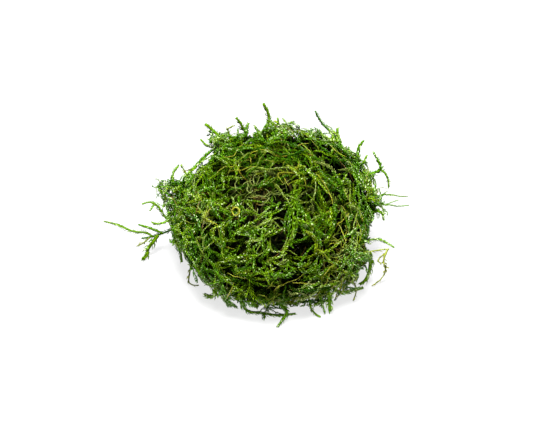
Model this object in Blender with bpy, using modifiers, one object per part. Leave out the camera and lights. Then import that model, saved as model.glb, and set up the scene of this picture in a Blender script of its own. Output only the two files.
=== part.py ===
"""A loose clump of creeping moss, resting on the flat of its underside.

The origin is at the middle of the resting face, +Z is up and -Y is the side that faces the viewer.
The clump is one tangled mass with its coarser hanks fused on, and the shoots that stray out of it.
"""

import math
import random

import bmesh
import bpy
from mathutils import Matrix, Vector

MM = 0.001

# The mass: an ellipsoid, cut off flat a little above its lowest point.
HALF_WIDTH = 33.0 * MM
HALF_DEPTH = 34.5 * MM
HALF_HEIGHT = 26.0 * MM
MIDDLE = Vector((-1.5, 0, 24)) * MM

# Places where the mass bulges or sinks: a point near its surface, how far the change spreads, and its height.
SWELLINGS = {
    "left lobe": ((-38, 10, 33), 9, 5.0),
    "right lobe": ((35, 5, 29), 10, 4.5),
    "crown left": ((-18, 23, 42), 13, 2.5),
    "crown middle": ((5, 25, 46), 13, 4.5),
    "crown right": ((23, 21, 41), 11, 3.0),
    "front brow": ((-4, -30, 28), 15, 1.5),
    "right shoulder": ((29, 16, 38), 10, 3.5),
    "right flank": ((29, -14, 12), 12, 3.5),
    "front left foot": ((-18, -22, 6), 9, 0.5),
    "front right foot": ((18, -22, 6), 10, 1.5),
    "back": ((4, 35, 20), 18, 2.0),
}
HOLLOWS = {
    "wide front hollow": ((10, -31, 23), 6.5, -5.5),
    "left front hollow": ((-13, -30, 26), 6, -3.5),
    "right front hollow": ((20, -20, 35), 6, -3.5),
    "low right hollow": ((19, -27, 14), 5, -3.0),
    "front underside": ((2, -27, 4), 10, -2.5),
    "upper left notch": ((-28, 15, 40), 7, -3.5),
    "back hollow": ((-14, 31, 26), 8, -4.0),
    "back right hollow": ((23, 26, 14), 8, -3.5),
}

# The dark gaps between the hanks: a point on the surface, how wide the gap is, and how far the mass sinks.
GAPS = {
    "wide gap, left": ((-15, -27, 36), 4.5, 3.0),
    "wide gap, middle": ((2, -31, 35), 4.5, 3.0),
    "wide gap, right": ((9, -30, 33), 4, 2.5),
    "low gap, left": ((-22, -26, 18), 3, 2.0),
    "low gap, middle": ((-6, -34, 19), 4, 2.5),
    "low gap, right": ((16, -27, 22), 3, 2.0),
    "right gap, high": ((25, -11, 37), 3, 2.0),
    "right gap, far": ((19, 4, 44), 3.5, 2.5),
    "crown gap, front": ((12, -14, 45), 3, 2.0),
    "crown gap, left": ((-19, -6, 46), 3, 2.0),
    "crown gap, left of the top": ((-5, 0, 50), 3.5, 3.0),
    "crown gap, right of the top": ((5, 0, 50), 4, 3.0),
    "crown gap, far": ((5, 10, 49), 3, 2.0),
    "patch of loose fibres": ((-8, -16, 46), 7, 2.5),
    "middle gap": ((0, -27, 41), 3, 2.0),
    "left gap, high": ((-20, -18, 41), 3.5, 2.0),
    "left gap, middle": ((-27, -18, 34), 4, 2.0),
    "left gap, low": ((-20, -28, 25), 3, 2.0),
    "left gap, far": ((-31, -15, 24), 3, 1.5),
}
# On the sides that face away from the viewer the gaps are spread evenly.
FAR_GAP_COUNT = 80
FAR_GAP_HIGHEST = 0.45
FAR_GAP_WIDTH = 2.8
FAR_GAP_DEPTH = 2.0
TOWARDS_VIEWER = Vector((0, -0.82, 0.57))

# The coarser hanks of shoots that lie over the mass, whose own surface lies a little lower between them.
MASS_SINK = 1.0 * MM
HANK_COUNT = 92
HANK_STEPS = 8
HANK_STEP = 4.4 * MM
HANK_RADIUS = (1.4 * MM, 2.2 * MM)
HANK_LIFT = 0.9 * MM
HANK_END_DIP = 3.6 * MM
HANK_WANDER = 0.32
HANK_SEED = 5
VOXEL = 1.1 * MM
TANGLE_FACES = 4900
ICOSPHERE_LEVELS = 5
BASE_CUTTER = (200 * MM, 200 * MM, 20 * MM)

# Shoots and bare stems.
LEAFY = 0.62 * MM
SLENDER = 0.46 * MM
BARE = 0.34 * MM
TIP_SHARE = 0.55
TWIG_SHARE = 0.8
ROOT_DEPTH = 3.5 * MM
ROOT_STEP = 0.25 * MM
ROOT_AIM_HEIGHT = 16.0 * MM
CLEARANCE = 0.3 * MM
SPAN = 4.0 * MM
SIDES_RESOLUTION = 1
WELD = 0.001 * MM

# Each stray shoot: its thickness, its colour, the points that it passes in millimetres, from the mass
# outwards, and the twigs that grow from it. A branch's name starts with its parent's.
STRAYS = {
    "left_forked_shoot": (
        SLENDER, "olive",
        [(-36, 13.5, 10), (-42, 12, 8.5), (-45.5, 11.5, 7.5), (-49.5, 11, 7)],
        [],
    ),
    "left_forked_shoot_long_branch": (
        SLENDER, "leaf",
        [(-45.5, 11.5, 7.5), (-48, 12, 9), (-53, 11.5, 10), (-58, 13, 11.7), (-63.5, 15, 12)],
        [],
    ),
    "left_forked_shoot_upper_branch": (
        SLENDER, "leaf",
        [(-41.5, 12, 8.6), (-45.5, 11.5, 11), (-50.5, 11.5, 13)],
        [],
    ),
    "left_forked_shoot_thin_branch": (
        BARE, "olive",
        [(-46.6, 11.2, 7.4), (-48.8, 10, 5.8), (-51.5, 9.5, 4.5)],
        [],
    ),
    "left_forked_shoot_lower_branch": (
        LEAFY, "leaf",
        [(-43.5, 11.8, 8), (-45.5, 9.5, 6), (-47.3, 9, 3.5), (-47.6, 7.4, 1.8), (-49.2, 5.7, 1.2)],
        [],
    ),
    "left_hooked_shoot": (
        SLENDER, "leaf",
        [(-37.5, 2, 21.5), (-39.5, 2, 23), (-42, 1, 28.4), (-44.5, 0, 31), (-47.4, -1, 30.7)],
        [[(-43, 0.7, 29.6), (-44.6, -2, 28.6)]],
    ),
    "left_low_sprig": (
        SLENDER, "leaf",
        [(-36, -4, 27), (-39.6, -6, 26.2), (-41.8, -7, 26.3), (-43.6, -8, 27.7)],
        [],
    ),
    "left_spike": (
        SLENDER, "leaf",
        [(-35.6, 6, 33), (-36.6, 7, 35.5), (-36.4, 8, 38), (-34.5, 8, 41)],
        [],
    ),
    "left_low_spike": (LEAFY, "leaf", [(-35, 2.5, 9.5), (-34.6, 1.6, 7), (-34.1, 0.3, 4)], []),
    "left_brown_thread": (
        BARE, "olive",
        [(-29.6, -6.4, 9), (-30.8, -8, 5.5), (-31.2, -8.4, 1.4), (-29.4, -9.4, 0.8), (-27.6, -9.4, 0.8)],
        [],
    ),
    "upper_left_loose_arch": (
        SLENDER, "olive",
        [(-32, 14, 33.7), (-28, 17, 36.8), (-24, 20, 39.6), (-20, 22, 41), (-16, 23, 42)],
        [],
    ),
    "upper_left_spike": (
        LEAFY, "leaf",
        [(-20.5, 24, 38.5), (-22.5, 24, 39.6), (-25.2, 24, 41), (-26.8, 24, 43.3)],
        [],
    ),
    "crown_left_blade": (
        LEAFY, "leaf",
        [(-18.6, 26, 39.3), (-20.2, 26, 42), (-22.8, 25.5, 45.4), (-25.2, 24.5, 48.5)],
        [],
    ),
    "crown_left_hook": (
        BARE, "olive",
        [(-16.2, 26, 41.8), (-17.2, 26, 45.1), (-16, 26, 46.4), (-14.4, 26, 47)],
        [],
    ),
    "crown_middle_blade": (
        LEAFY, "leaf",
        [(-10.2, 26, 40), (-10.5, 26, 43.5), (-12.3, 25, 48), (-13.9, 24, 51.5)],
        [[(-10.6, 26, 43.2), (-9.6, 27, 47.5)]],
    ),
    "crown_small_blade": (SLENDER, "leaf", [(-4, 26, 41.5), (-5.5, 26, 44), (-7.4, 25, 47.5)], []),
    "crown_tall_shoot": (
        LEAFY, "leaf",
        [(-3, 27, 44), (-2.1, 27, 47), (-1.9, 27, 49.6), (-2.6, 26.5, 53.3), (-3.9, 26, 56.4)],
        [],
    ),
    "crown_knob": (SLENDER, "leaf", [(2, 27, 45), (1.4, 27, 47), (1.1, 27, 49.6)], []),
    "crown_right_whip": (
        SLENDER, "olive",
        [(24.4, 25, 41), (22.6, 25, 44.1), (18.8, 25, 48.1), (16.5, 25, 51.1), (15, 25, 54.1)],
        [],
    ),
    "crown_right_blade": (
        LEAFY, "leaf",
        [(26.3, 22, 36.2), (25.2, 22, 39.5), (23.8, 22, 43), (23.2, 22, 48.6)],
        [],
    ),
    "right_shoulder_curl": (
        LEAFY, "leaf",
        [(30, 18, 36.8), (30.2, 18, 40.5), (30.7, 18, 43.2), (32.1, 18, 45.5)],
        [],
    ),
    "right_shoulder_twig": (SLENDER, "leaf", [(31, 15, 36), (32.4, 15, 38.6), (33.4, 15, 41.2)], []),
    "right_arching_shoot": (
        SLENDER, "leaf",
        [(33, 10, 35.5), (35.6, 10, 36.9), (38, 10, 38.2), (37.2, 10, 41.5), (35.2, 10, 45.5)],
        [],
    ),
    "right_arching_shoot_drooping_branch": (
        SLENDER, "leaf",
        [(38, 10, 38.2), (40.3, 10, 36.6), (41.6, 9.5, 33.8), (41.4, 9, 31.2)],
        [],
    ),
    "right_upper_whisker": (
        BARE, "leaf",
        [(38, 7, 30), (42.4, 8, 29.6), (45.2, 8, 28.6), (48.3, 8, 28.6)],
        [],
    ),
    "right_lower_whisker": (
        BARE, "leaf",
        [(36.5, 4, 26.9), (40.4, 5, 26.4), (44.5, 5, 25.7), (48.6, 5, 26.2)],
        [[(40.2, 5, 26.4), (42.6, 5.6, 27.2), (44.8, 6, 27.8)]],
    ),
    "right_fringe": (LEAFY, "leaf", [(35.7, 1, 26), (38.6, 1, 25), (39.4, 0, 21.8)], []),
    "right_bent_shoot": (
        SLENDER, "leaf",
        [(32, -5, 17.8), (35.5, -5, 18.6), (38, -5, 18.5), (40, -5.2, 17.4), (43.4, -6, 15.4)],
        [],
    ),
    "right_yellow_stem": (
        BARE, "yellow",
        [(30, -11, 16.5), (34, -11.6, 17.6), (37, -12, 18.6), (40.6, -12, 19)],
        [],
    ),
    "right_yellow_stem_drooping_branch": (
        BARE, "yellow",
        [
            (40, -12, 19), (38.6, -14, 15.6), (39.8, -10, 9),
            (40, -6.5, 4), (38.2, -7.6, 1.6), (35.2, -9.9, 0.8),
        ],
        [[(38.8, -13.4, 16.2), (36.8, -13.2, 16.8)]],
    ),
    "right_low_curl": (
        LEAFY, "leaf",
        [
            (32.6, -8, 14), (34.3, -8, 11.6), (34.4, -8, 8),
            (34, -8, 5), (32.8, -9, 2.6), (30.8, -9.8, 1.4),
        ],
        [],
    ),
    "front_right_sprig": (
        LEAFY, "leaf",
        [(22.4, -21, 7), (25, -19.4, 5.4), (28.1, -15.4, 3), (31.9, -12, 1.6)],
        [],
    ),
    "front_right_thread": (BARE, "olive", [(28.2, -17, 7.6), (29, -17.6, 4), (28, -18.6, 0.8)], []),
    "front_right_leafy_toe": (LEAFY, "leaf", [(18.6, -24.5, 9.8), (19.2, -25, 6), (19.5, -25, 1.2)], []),
    "front_right_thin_toe": (SLENDER, "leaf", [(15.4, -25.5, 9.7), (16.3, -25.4, 6), (17.7, -26, 1)], []),
    "front_middle_twig": (
        SLENDER, "leaf",
        [(12, -26, 7.4), (12.6, -24.8, 2.8), (14.2, -26.2, 1), (16.1, -27.8, 0.8)],
        [],
    ),
    "front_trailing_shoot": (
        SLENDER, "leaf",
        [
            (-12.8, -26.5, 12.6), (-12, -26.4, 8.6), (-11.2, -24.6, 3), (-9, -25.2, 1.1),
            (-5, -25.6, 0.9), (1.1, -27, 0.9), (7.3, -26.1, 0.9),
        ],
        [[(-3.9, -25.8, 0.9), (-3.7, -28.6, 0.8)]],
    ),
    "front_trailing_shoot_crossing_branch": (
        SLENDER, "leaf",
        [
            (-1, -27.4, 11), (0.2, -27.4, 8), (2.6, -27, 5.4),
            (4.2, -27, 3), (3.8, -29, 2.4), (0.8, -33.4, 0.9),
        ],
        [],
    ),
    "front_leafy_toe": (
        LEAFY, "leaf",
        [(-10.4, -27, 12), (-8.8, -26.6, 8), (-7.2, -24.6, 4), (-6.4, -23.2, 1.6)],
        [],
    ),
    "front_left_tuft": (
        LEAFY, "leaf",
        [(-19.4, -22.5, 12), (-19, -23.4, 8), (-17.6, -23, 4.4), (-16.6, -22, 1.2)],
        [[(-17.7, -23, 4.6), (-15.4, -22.6, 2), (-13.4, -22.4, 0.9)]],
    ),
    "front_left_curl": (
        LEAFY, "leaf",
        [(-21, -19.6, 9), (-21, -19, 5.6), (-21.6, -18, 2.8), (-23, -17.2, 1.6), (-25.3, -15.4, 1.3)],
        [],
    ),
}
COLOURS = {"leaf": (0.075, 0.2, 0.012), "olive": (0.16, 0.17, 0.035), "yellow": (0.42, 0.36, 0.05)}
TANGLE_COLOUR = (0.055, 0.15, 0.01)
ROUGHNESS = 0.6


def clear_scene():
    for obj in list(bpy.data.objects):
        bpy.data.objects.remove(obj, do_unlink=True)


def new_collection(name):
    collection = bpy.data.collections.new(name)
    bpy.context.scene.collection.children.link(collection)
    return collection


def finish(name, colour):
    """A matt plant surface of one colour."""
    material = bpy.data.materials.new(name)
    material.use_nodes = True
    shader = material.node_tree.nodes["Principled BSDF"]
    shader.inputs["Base Color"].default_value = (*colour, 1)
    shader.inputs["Roughness"].default_value = ROUGHNESS
    shader.inputs["Metallic"].default_value = 0.0
    return material


def even_direction(index, count):
    """Directions spread evenly round the middle, as on a sunflower head."""
    height = 1 - (2 * index + 1) / count
    turn = index * math.pi * (3 - math.sqrt(5))
    flat = math.sqrt(1 - height * height)
    return Vector((flat * math.cos(turn), flat * math.sin(turn), height))


def gap_directions():
    """Each gap as its direction from the middle, its distance, its width and its depth."""
    gaps = []
    for place, width, depth in GAPS.values():
        away = Vector(place) * MM - MIDDLE
        gaps.append((away.normalized(), away.length, width * MM, depth * MM))
    for index in range(FAR_GAP_COUNT):
        direction = even_direction(index, FAR_GAP_COUNT)
        if direction.z < FAR_GAP_HIGHEST and direction.dot(TOWARDS_VIEWER) < 0:
            gaps.append((direction, HALF_WIDTH, FAR_GAP_WIDTH * MM, FAR_GAP_DEPTH * MM))
    return gaps


ALL_GAPS = gap_directions()


def mass_surface(direction):
    """The point where a ray from the middle of the mass leaves it."""
    stretched = Vector((direction.x / HALF_WIDTH, direction.y / HALF_DEPTH, direction.z / HALF_HEIGHT))
    reach = direction.length / stretched.length
    outward = direction.normalized()
    plain = MIDDLE + outward * reach
    for place, spread, rise in [*SWELLINGS.values(), *HOLLOWS.values()]:
        distance = (plain - Vector(place) * MM).length / (spread * MM)
        reach += rise * MM * math.exp(-distance * distance)
    for towards, far, width, depth in ALL_GAPS:
        distance = (outward - towards).length * far / width
        reach -= depth * math.exp(-distance * distance)
    return MIDDLE + outward * reach


def depth_in_mass(point):
    """How far a point lies below the surface of the mass, seen from its middle. Outside it is negative."""
    from_middle = point - MIDDLE
    return (mass_surface(from_middle) - MIDDLE).length - from_middle.length


def smooth_route(points, span):
    """Points about one span apart on a smooth curve through the given ones."""
    ends = [points[0] * 2 - points[1], *points, points[-1] * 2 - points[-2]]
    route = [points[0]]
    for before, start, end, after in zip(ends, ends[1:], ends[2:], ends[3:]):
        pieces = max(1, round((end - start).length / span))
        for piece in range(1, pieces + 1):
            t = piece / pieces
            route.append(
                0.5
                * (
                    2 * start
                    + (end - before) * t
                    + (2 * before - 5 * start + 4 * end - after) * t**2
                    + (3 * start - before - 3 * end + after) * t**3
                )
            )
    return route


def rooted(route):
    """The route with one more point at its start where that doesn't lie deep enough in the mass."""
    inward = (Vector((0, 0, ROOT_AIM_HEIGHT)) - route[0]).normalized()
    root = route[0].copy()
    while depth_in_mass(root) < ROOT_DEPTH:
        root += inward * ROOT_STEP
    return [root, *route] if root != route[0] else route


def tube(name, route, radius, tip_share, collection, grown=0.0):
    """A tapering tube along a route, as a closed mesh. Grown makes it thicker and longer all round."""
    points = [point.copy() for point in route]
    points[0] += (points[0] - points[1]).normalized() * grown
    points[-1] += (points[-1] - points[-2]).normalized() * grown
    curve = bpy.data.curves.new(name, "CURVE")
    curve.dimensions = "3D"
    curve.bevel_depth = 1.0
    curve.bevel_resolution = SIDES_RESOLUTION
    curve.use_fill_caps = True
    spline = curve.splines.new("POLY")
    spline.points.add(len(points) - 1)
    for index, (place, point) in enumerate(zip(spline.points, points)):
        place.co = (*point, 1)
        along = index / (len(points) - 1)
        place.radius = radius * (1 + (tip_share - 1) * along**2) + grown
    guide = bpy.data.objects.new(name + "_guide", curve)
    collection.objects.link(guide)
    bpy.context.view_layer.update()
    mesh = bpy.data.meshes.new_from_object(guide.evaluated_get(bpy.context.evaluated_depsgraph_get()))
    bpy.data.objects.remove(guide, do_unlink=True)
    bpy.data.curves.remove(curve)
    shape = bmesh.new()
    shape.from_mesh(mesh)
    bmesh.ops.remove_doubles(shape, verts=shape.verts, dist=WELD)
    bmesh.ops.recalc_face_normals(shape, faces=shape.faces)
    shape.to_mesh(mesh)
    shape.free()
    obj = bpy.data.objects.new(name, mesh)
    collection.objects.link(obj)
    return obj


def as_helper(obj):
    """Marks a cutter or a twig to be joined, which isn't a piece of its own."""
    obj.hide_render = True
    obj.display_type = "WIRE"
    return obj


def add_boolean(obj, operation, name, other):
    modifier = obj.modifiers.new(name, "BOOLEAN")
    modifier.operation = operation
    modifier.solver = "EXACT"
    modifier.object = other


def settle(obj):
    """Makes the modifiers' result the object's own mesh, and drops crumbs that a cut left loose."""
    bpy.context.view_layer.update()
    mesh = bpy.data.meshes.new_from_object(obj.evaluated_get(bpy.context.evaluated_depsgraph_get()))
    obj.modifiers.clear()
    shape = bmesh.new()
    shape.from_mesh(mesh)
    unseen = set(shape.verts)
    bodies = []
    while unseen:
        body = [unseen.pop()]
        for vertex in body:
            near = {edge.other_vert(vertex) for edge in vertex.link_edges} & unseen
            unseen -= near
            body.extend(near)
        bodies.append(body)
    bodies.sort(key=len)
    for crumb in bodies[:-1]:
        bmesh.ops.delete(shape, geom=crumb, context="VERTS")
    shape.to_mesh(mesh)
    shape.free()
    obj.data = mesh


def hank_route(direction):
    """A wandering walk over the mass, its two ends dipping in."""
    outward = direction.normalized()
    heading = outward.cross(Vector((random.uniform(-1, 1), random.uniform(-1, 1), random.uniform(-1, 1))))
    heading.normalize()
    route = []
    for step in range(HANK_STEPS):
        surface = mass_surface(outward)
        reach = (surface - MIDDLE).length
        from_end = abs(2 * step / (HANK_STEPS - 1) - 1)
        route.append(surface + outward * (HANK_LIFT - HANK_END_DIP * from_end**2))
        outward = (outward + heading * HANK_STEP / reach).normalized()
        heading = Matrix.Rotation(random.gauss(0, HANK_WANDER), 3, outward) @ heading
        heading = (heading - outward * heading.dot(outward)).normalized()
    return route


def lies_in_hollow(point):
    return any((point - Vector(place) * MM).length < spread * MM for place, spread, rise in HOLLOWS.values())


def plain_mass(collection):
    """The ellipsoid with its swellings and hollows."""
    shape = bmesh.new()
    bmesh.ops.create_icosphere(shape, subdivisions=ICOSPHERE_LEVELS, radius=1.0)
    for vertex in shape.verts:
        vertex.co = mass_surface(vertex.co) - vertex.co.normalized() * MASS_SINK
    mesh = bpy.data.meshes.new("moss_tangle")
    shape.to_mesh(mesh)
    shape.free()
    obj = bpy.data.objects.new("moss_tangle", mesh)
    collection.objects.link(obj)
    return obj


def join_into(obj, others):
    """Adds the others' faces to the object's mesh and removes them."""
    shape = bmesh.new()
    shape.from_mesh(obj.data)
    for other in others:
        shape.from_mesh(other.data)
        bpy.data.objects.remove(other, do_unlink=True)
    shape.to_mesh(obj.data)
    shape.free()


def make_tangle(parts, cutters, sockets):
    """The mass with its hanks fused on, a flat to rest on, and a socket for each stray shoot."""
    tangle = plain_mass(parts)
    hanks = []
    for index in range(HANK_COUNT):
        direction = even_direction(index, HANK_COUNT)
        route = hank_route(direction)
        radius = random.uniform(*HANK_RADIUS)
        if not lies_in_hollow(route[HANK_STEPS // 2]):
            hanks.append(tube(f"hank_{index}", route, radius, 1.0, parts))
    join_into(tangle, hanks)
    remesh = tangle.modifiers.new("fuse", "REMESH")
    remesh.mode = "VOXEL"
    remesh.voxel_size = VOXEL
    settle(tangle)
    decimate = tangle.modifiers.new("coarsen", "DECIMATE")
    decimate.ratio = TANGLE_FACES / (2 * len(tangle.data.polygons))
    settle(tangle)
    shape = bmesh.new()
    below = Vector((0, 0, -BASE_CUTTER[2] / 2))
    bmesh.ops.create_cube(shape, size=1.0, matrix=Matrix.LocRotScale(below, None, BASE_CUTTER))
    mesh = bpy.data.meshes.new("base_cutter")
    shape.to_mesh(mesh)
    shape.free()
    base = as_helper(bpy.data.objects.new("base_cutter", mesh))
    cutters.objects.link(base)
    add_boolean(tangle, "DIFFERENCE", "flat base", base)
    for socket in sockets.objects:
        add_boolean(tangle, "DIFFERENCE", socket.name, socket)
    settle(tangle)
    tangle.data.materials.append(finish("moss green", TANGLE_COLOUR))
    return tangle


def make_stray(name, parts, cutters, sockets, finishes):
    """One shoot or bare stem that leaves the mass, with its twigs fused on."""
    radius, colour, points, twigs = STRAYS[name]
    route = [Vector(point) * MM for point in points]
    parent = next((other for other in STRAYS if name.startswith(other + "_")), None)
    if parent is None:
        route = rooted(route)
    route = smooth_route(route, SPAN)
    shoot = tube(name, route, radius, TIP_SHARE, parts)
    as_helper(tube(name + "_socket", route, radius, TIP_SHARE, sockets, CLEARANCE))
    for number, points in enumerate(twigs, 1):
        twig_name = f"{name}_twig_{number}"
        twig_radius = radius * TWIG_SHARE
        route = smooth_route([Vector(point) * MM for point in points], SPAN)
        twig = as_helper(tube(twig_name, route, twig_radius, TIP_SHARE, cutters))
        add_boolean(shoot, "UNION", twig_name, twig)
        as_helper(tube(twig_name + "_socket", route, twig_radius, TIP_SHARE, sockets, CLEARANCE))
    if parent:
        family = [other for other in STRAYS if other == parent or other.startswith(parent + "_")]
        for other in family[: family.index(name)]:
            add_boolean(shoot, "DIFFERENCE", "clear of " + other, bpy.data.objects[other + "_socket"])
    settle(shoot)
    shoot.data.materials.append(finishes[colour])
    for polygon in shoot.data.polygons:
        polygon.use_smooth = True


def main():
    random.seed(HANK_SEED)
    clear_scene()
    parts = new_collection("moss clump")
    cutters = new_collection("cutters")
    sockets = new_collection("sockets")
    finishes = {name: finish(name + " shoot", colour) for name, colour in COLOURS.items()}
    for name in STRAYS:
        make_stray(name, parts, cutters, sockets, finishes)
    make_tangle(parts, cutters, sockets)


main()
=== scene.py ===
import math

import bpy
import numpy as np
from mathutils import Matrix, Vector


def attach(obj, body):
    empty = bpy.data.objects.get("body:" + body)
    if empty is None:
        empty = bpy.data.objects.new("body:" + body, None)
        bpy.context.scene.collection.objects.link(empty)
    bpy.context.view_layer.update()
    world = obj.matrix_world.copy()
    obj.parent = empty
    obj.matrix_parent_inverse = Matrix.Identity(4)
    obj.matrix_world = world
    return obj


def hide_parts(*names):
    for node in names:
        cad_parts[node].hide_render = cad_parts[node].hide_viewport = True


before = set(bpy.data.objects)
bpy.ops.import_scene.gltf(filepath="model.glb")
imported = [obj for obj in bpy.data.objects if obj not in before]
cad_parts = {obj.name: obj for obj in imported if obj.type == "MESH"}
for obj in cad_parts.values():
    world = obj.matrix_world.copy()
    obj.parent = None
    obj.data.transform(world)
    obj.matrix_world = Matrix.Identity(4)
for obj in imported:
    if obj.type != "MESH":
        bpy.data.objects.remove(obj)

# %% [markdown]
# A handful of creeping moss is a loose ball of thin shoots. Each shoot is a wiry stem clothed in tiny
# overlapping leaves, and hundreds of them grow over, under and through each other.
# It could be a bumpy solid with a leafy texture, but its edge would then be a plain line and its gaps would
# only be painted. Here every shoot is real geometry: a route through the clump, a skin round that route, and
# leaves set beside it. Everything is worked out in millimetres, and MM turns it into Blender's metres.

MM = 0.001
chance = np.random.default_rng(41)
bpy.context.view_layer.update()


def either(share, first, second, count):
    """Numbers of which this share lies in the first range and the rest in the second."""
    chosen = chance.random(count) < share
    return np.where(chosen, chance.uniform(*first, count), chance.uniform(*second, count))


# %% [markdown]
# The camera stands where the photographer stood: in front, looking down at about 35 degrees from half a
# metre away, with a long lens that hardly widens what is near.
# The picture is 533 by 436 pixels, and a pixel at the clump's middle is 0.36 mm. The same numbers turn any
# place in the picture into a line of sight, which is how single shoots are later laid where they show.

# %% The camera
PICTURE_WIDTH = 533
PICTURE_HEIGHT = 436
LENS = 100
SENSOR = 36
PIXEL = 0.36
CLIP_START = 0.01
LOOK_DOWN = math.radians(35)
LOOK_AT = np.array([-3.0, 0.0, 24.0])
LENS_PIXELS = PICTURE_WIDTH * LENS / SENSOR
AWAY = LENS_PIXELS * PIXEL
camera_place = LOOK_AT + AWAY * np.array([0, -math.cos(LOOK_DOWN), math.sin(LOOK_DOWN)])

camera = bpy.data.objects.new("camera", bpy.data.cameras.new("camera"))
bpy.context.scene.collection.objects.link(camera)
camera.data.lens = LENS
camera.data.sensor_width = SENSOR
camera.data.clip_start = CLIP_START
camera.location = camera_place * MM
camera.rotation_euler = (math.pi / 2 - LOOK_DOWN, 0, 0)
bpy.context.scene.camera = camera
print("the camera is", round(AWAY), "mm away")


def lines_of_sight(pixels):
    """The directions from the camera through these places in the picture."""
    pixels = np.array(pixels, dtype=float)
    right = (pixels[:, 0] - PICTURE_WIDTH / 2) / LENS_PIXELS
    up = (PICTURE_HEIGHT / 2 - pixels[:, 1]) / LENS_PIXELS
    cos = math.cos(LOOK_DOWN)
    sin = math.sin(LOOK_DOWN)
    return unit(np.stack([right, cos + up * sin, up * cos - sin], 1))


def unit(vectors):
    """The same directions with a length of one."""
    return vectors / np.maximum(np.linalg.norm(vectors, axis=-1, keepdims=True), 1e-9)


# %% [markdown]
# The clump's form is the one that the solids have: an ellipsoid that swells into lobes and sinks into
# hollows. The shoots don't copy the solid's faces. They only have to know how deep in the clump a place is,
# so a formula is enough, and it is worked out for thousands of places at once.

# %% The form of the clump
HALF_SIZES = np.array([33.0, 34.5, 26.0])
MIDDLE = np.array([-1.5, 0.0, 24.0])
SWELLINGS = {
    "left lobe": ((-38, 10, 33), 9, 5.0),
    "right lobe": ((35, 5, 29), 10, 4.5),
    "crown left": ((-18, 23, 42), 13, 2.5),
    "crown middle": ((5, 25, 46), 13, 4.5),
    "crown right": ((23, 21, 41), 11, 3.0),
    "front brow": ((-4, -30, 28), 15, 1.5),
    "right shoulder": ((29, 16, 38), 10, 3.5),
    "right flank": ((29, -14, 12), 12, 3.5),
    "front left foot": ((-18, -22, 6), 9, 0.5),
    "front right foot": ((18, -22, 6), 10, 1.5),
    "back": ((4, 35, 20), 18, 2.0),
}
HOLLOWS = {
    "wide front hollow": ((10, -31, 23), 6.5, -5.5),
    "left front hollow": ((-13, -30, 26), 6, -3.5),
    "right front hollow": ((20, -20, 35), 6, -3.5),
    "low right hollow": ((19, -27, 14), 5, -3.0),
    "front underside": ((2, -27, 4), 10, -2.5),
    "upper left notch": ((-28, 15, 40), 7, -3.5),
    "back hollow": ((-14, 31, 26), 8, -4.0),
    "back right hollow": ((23, 26, 14), 8, -3.5),
}


def reach_of_mass(outward):
    """How far the clump reaches from its middle, in each of these directions."""
    reach = 1 / np.linalg.norm(outward / HALF_SIZES, axis=1)
    plain = MIDDLE + outward * reach[:, None]
    for place, spread, rise in [*SWELLINGS.values(), *HOLLOWS.values()]:
        reach = reach + rise * np.exp(-(((plain - place) / spread) ** 2).sum(1))
    return reach


def below_surface(directions, depth):
    """The places this deep below the surface, as seen from the clump's middle in these directions."""
    return MIDDLE + directions * (reach_of_mass(directions) - depth)[:, None]


def depth_of(points):
    """How deep each point lies below the clump's surface. Above it the depth is negative."""
    from_middle = points - MIDDLE
    return reach_of_mass(unit(from_middle)) - np.linalg.norm(from_middle, axis=1)


top = reach_of_mass(np.array([[0, 0, 1.0]]))[0]
print("the clump reaches", round(float(top), 1), "mm up from its middle")

# %% [markdown]
# A place in the picture becomes a place on the clump by walking along its line of sight until the clump is
# as near as wanted. A line that misses the clump stops where it passes nearest, and one that would reach the
# floor first stops just above it. That keeps everything that is placed one by one sitting on the moss, from
# whichever side it is seen.

# %% From the picture to the clump
NEAREST = 450.0
FARTHEST = 610.0
SIGHT_STEP = 0.3
FLOOR_CLEARANCE = 0.8


def laid_on_clump(pixels, lift):
    """Where these lines of sight come within each lift of the clump's surface."""
    reach = np.arange(NEAREST, FARTHEST, SIGHT_STEP)
    sight = camera_place + lines_of_sight(pixels)[:, None] * reach[:, None]
    depth = depth_of(sight.reshape(-1, 3)).reshape(len(pixels), -1)
    near = depth > -np.broadcast_to(lift, len(pixels))[:, None]
    first = np.where(near.any(1), near.argmax(1), depth.argmax(1))
    below = sight[:, :, 2].reshape(len(pixels), -1) < FLOOR_CLEARANCE
    first = np.where(below[np.arange(len(pixels)), first], below.argmax(1), first)
    return sight[np.arange(len(pixels)), first]


print("the picture's middle meets the clump at", laid_on_clump([(266, 218)], 0).round(1)[0], "mm")
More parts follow.
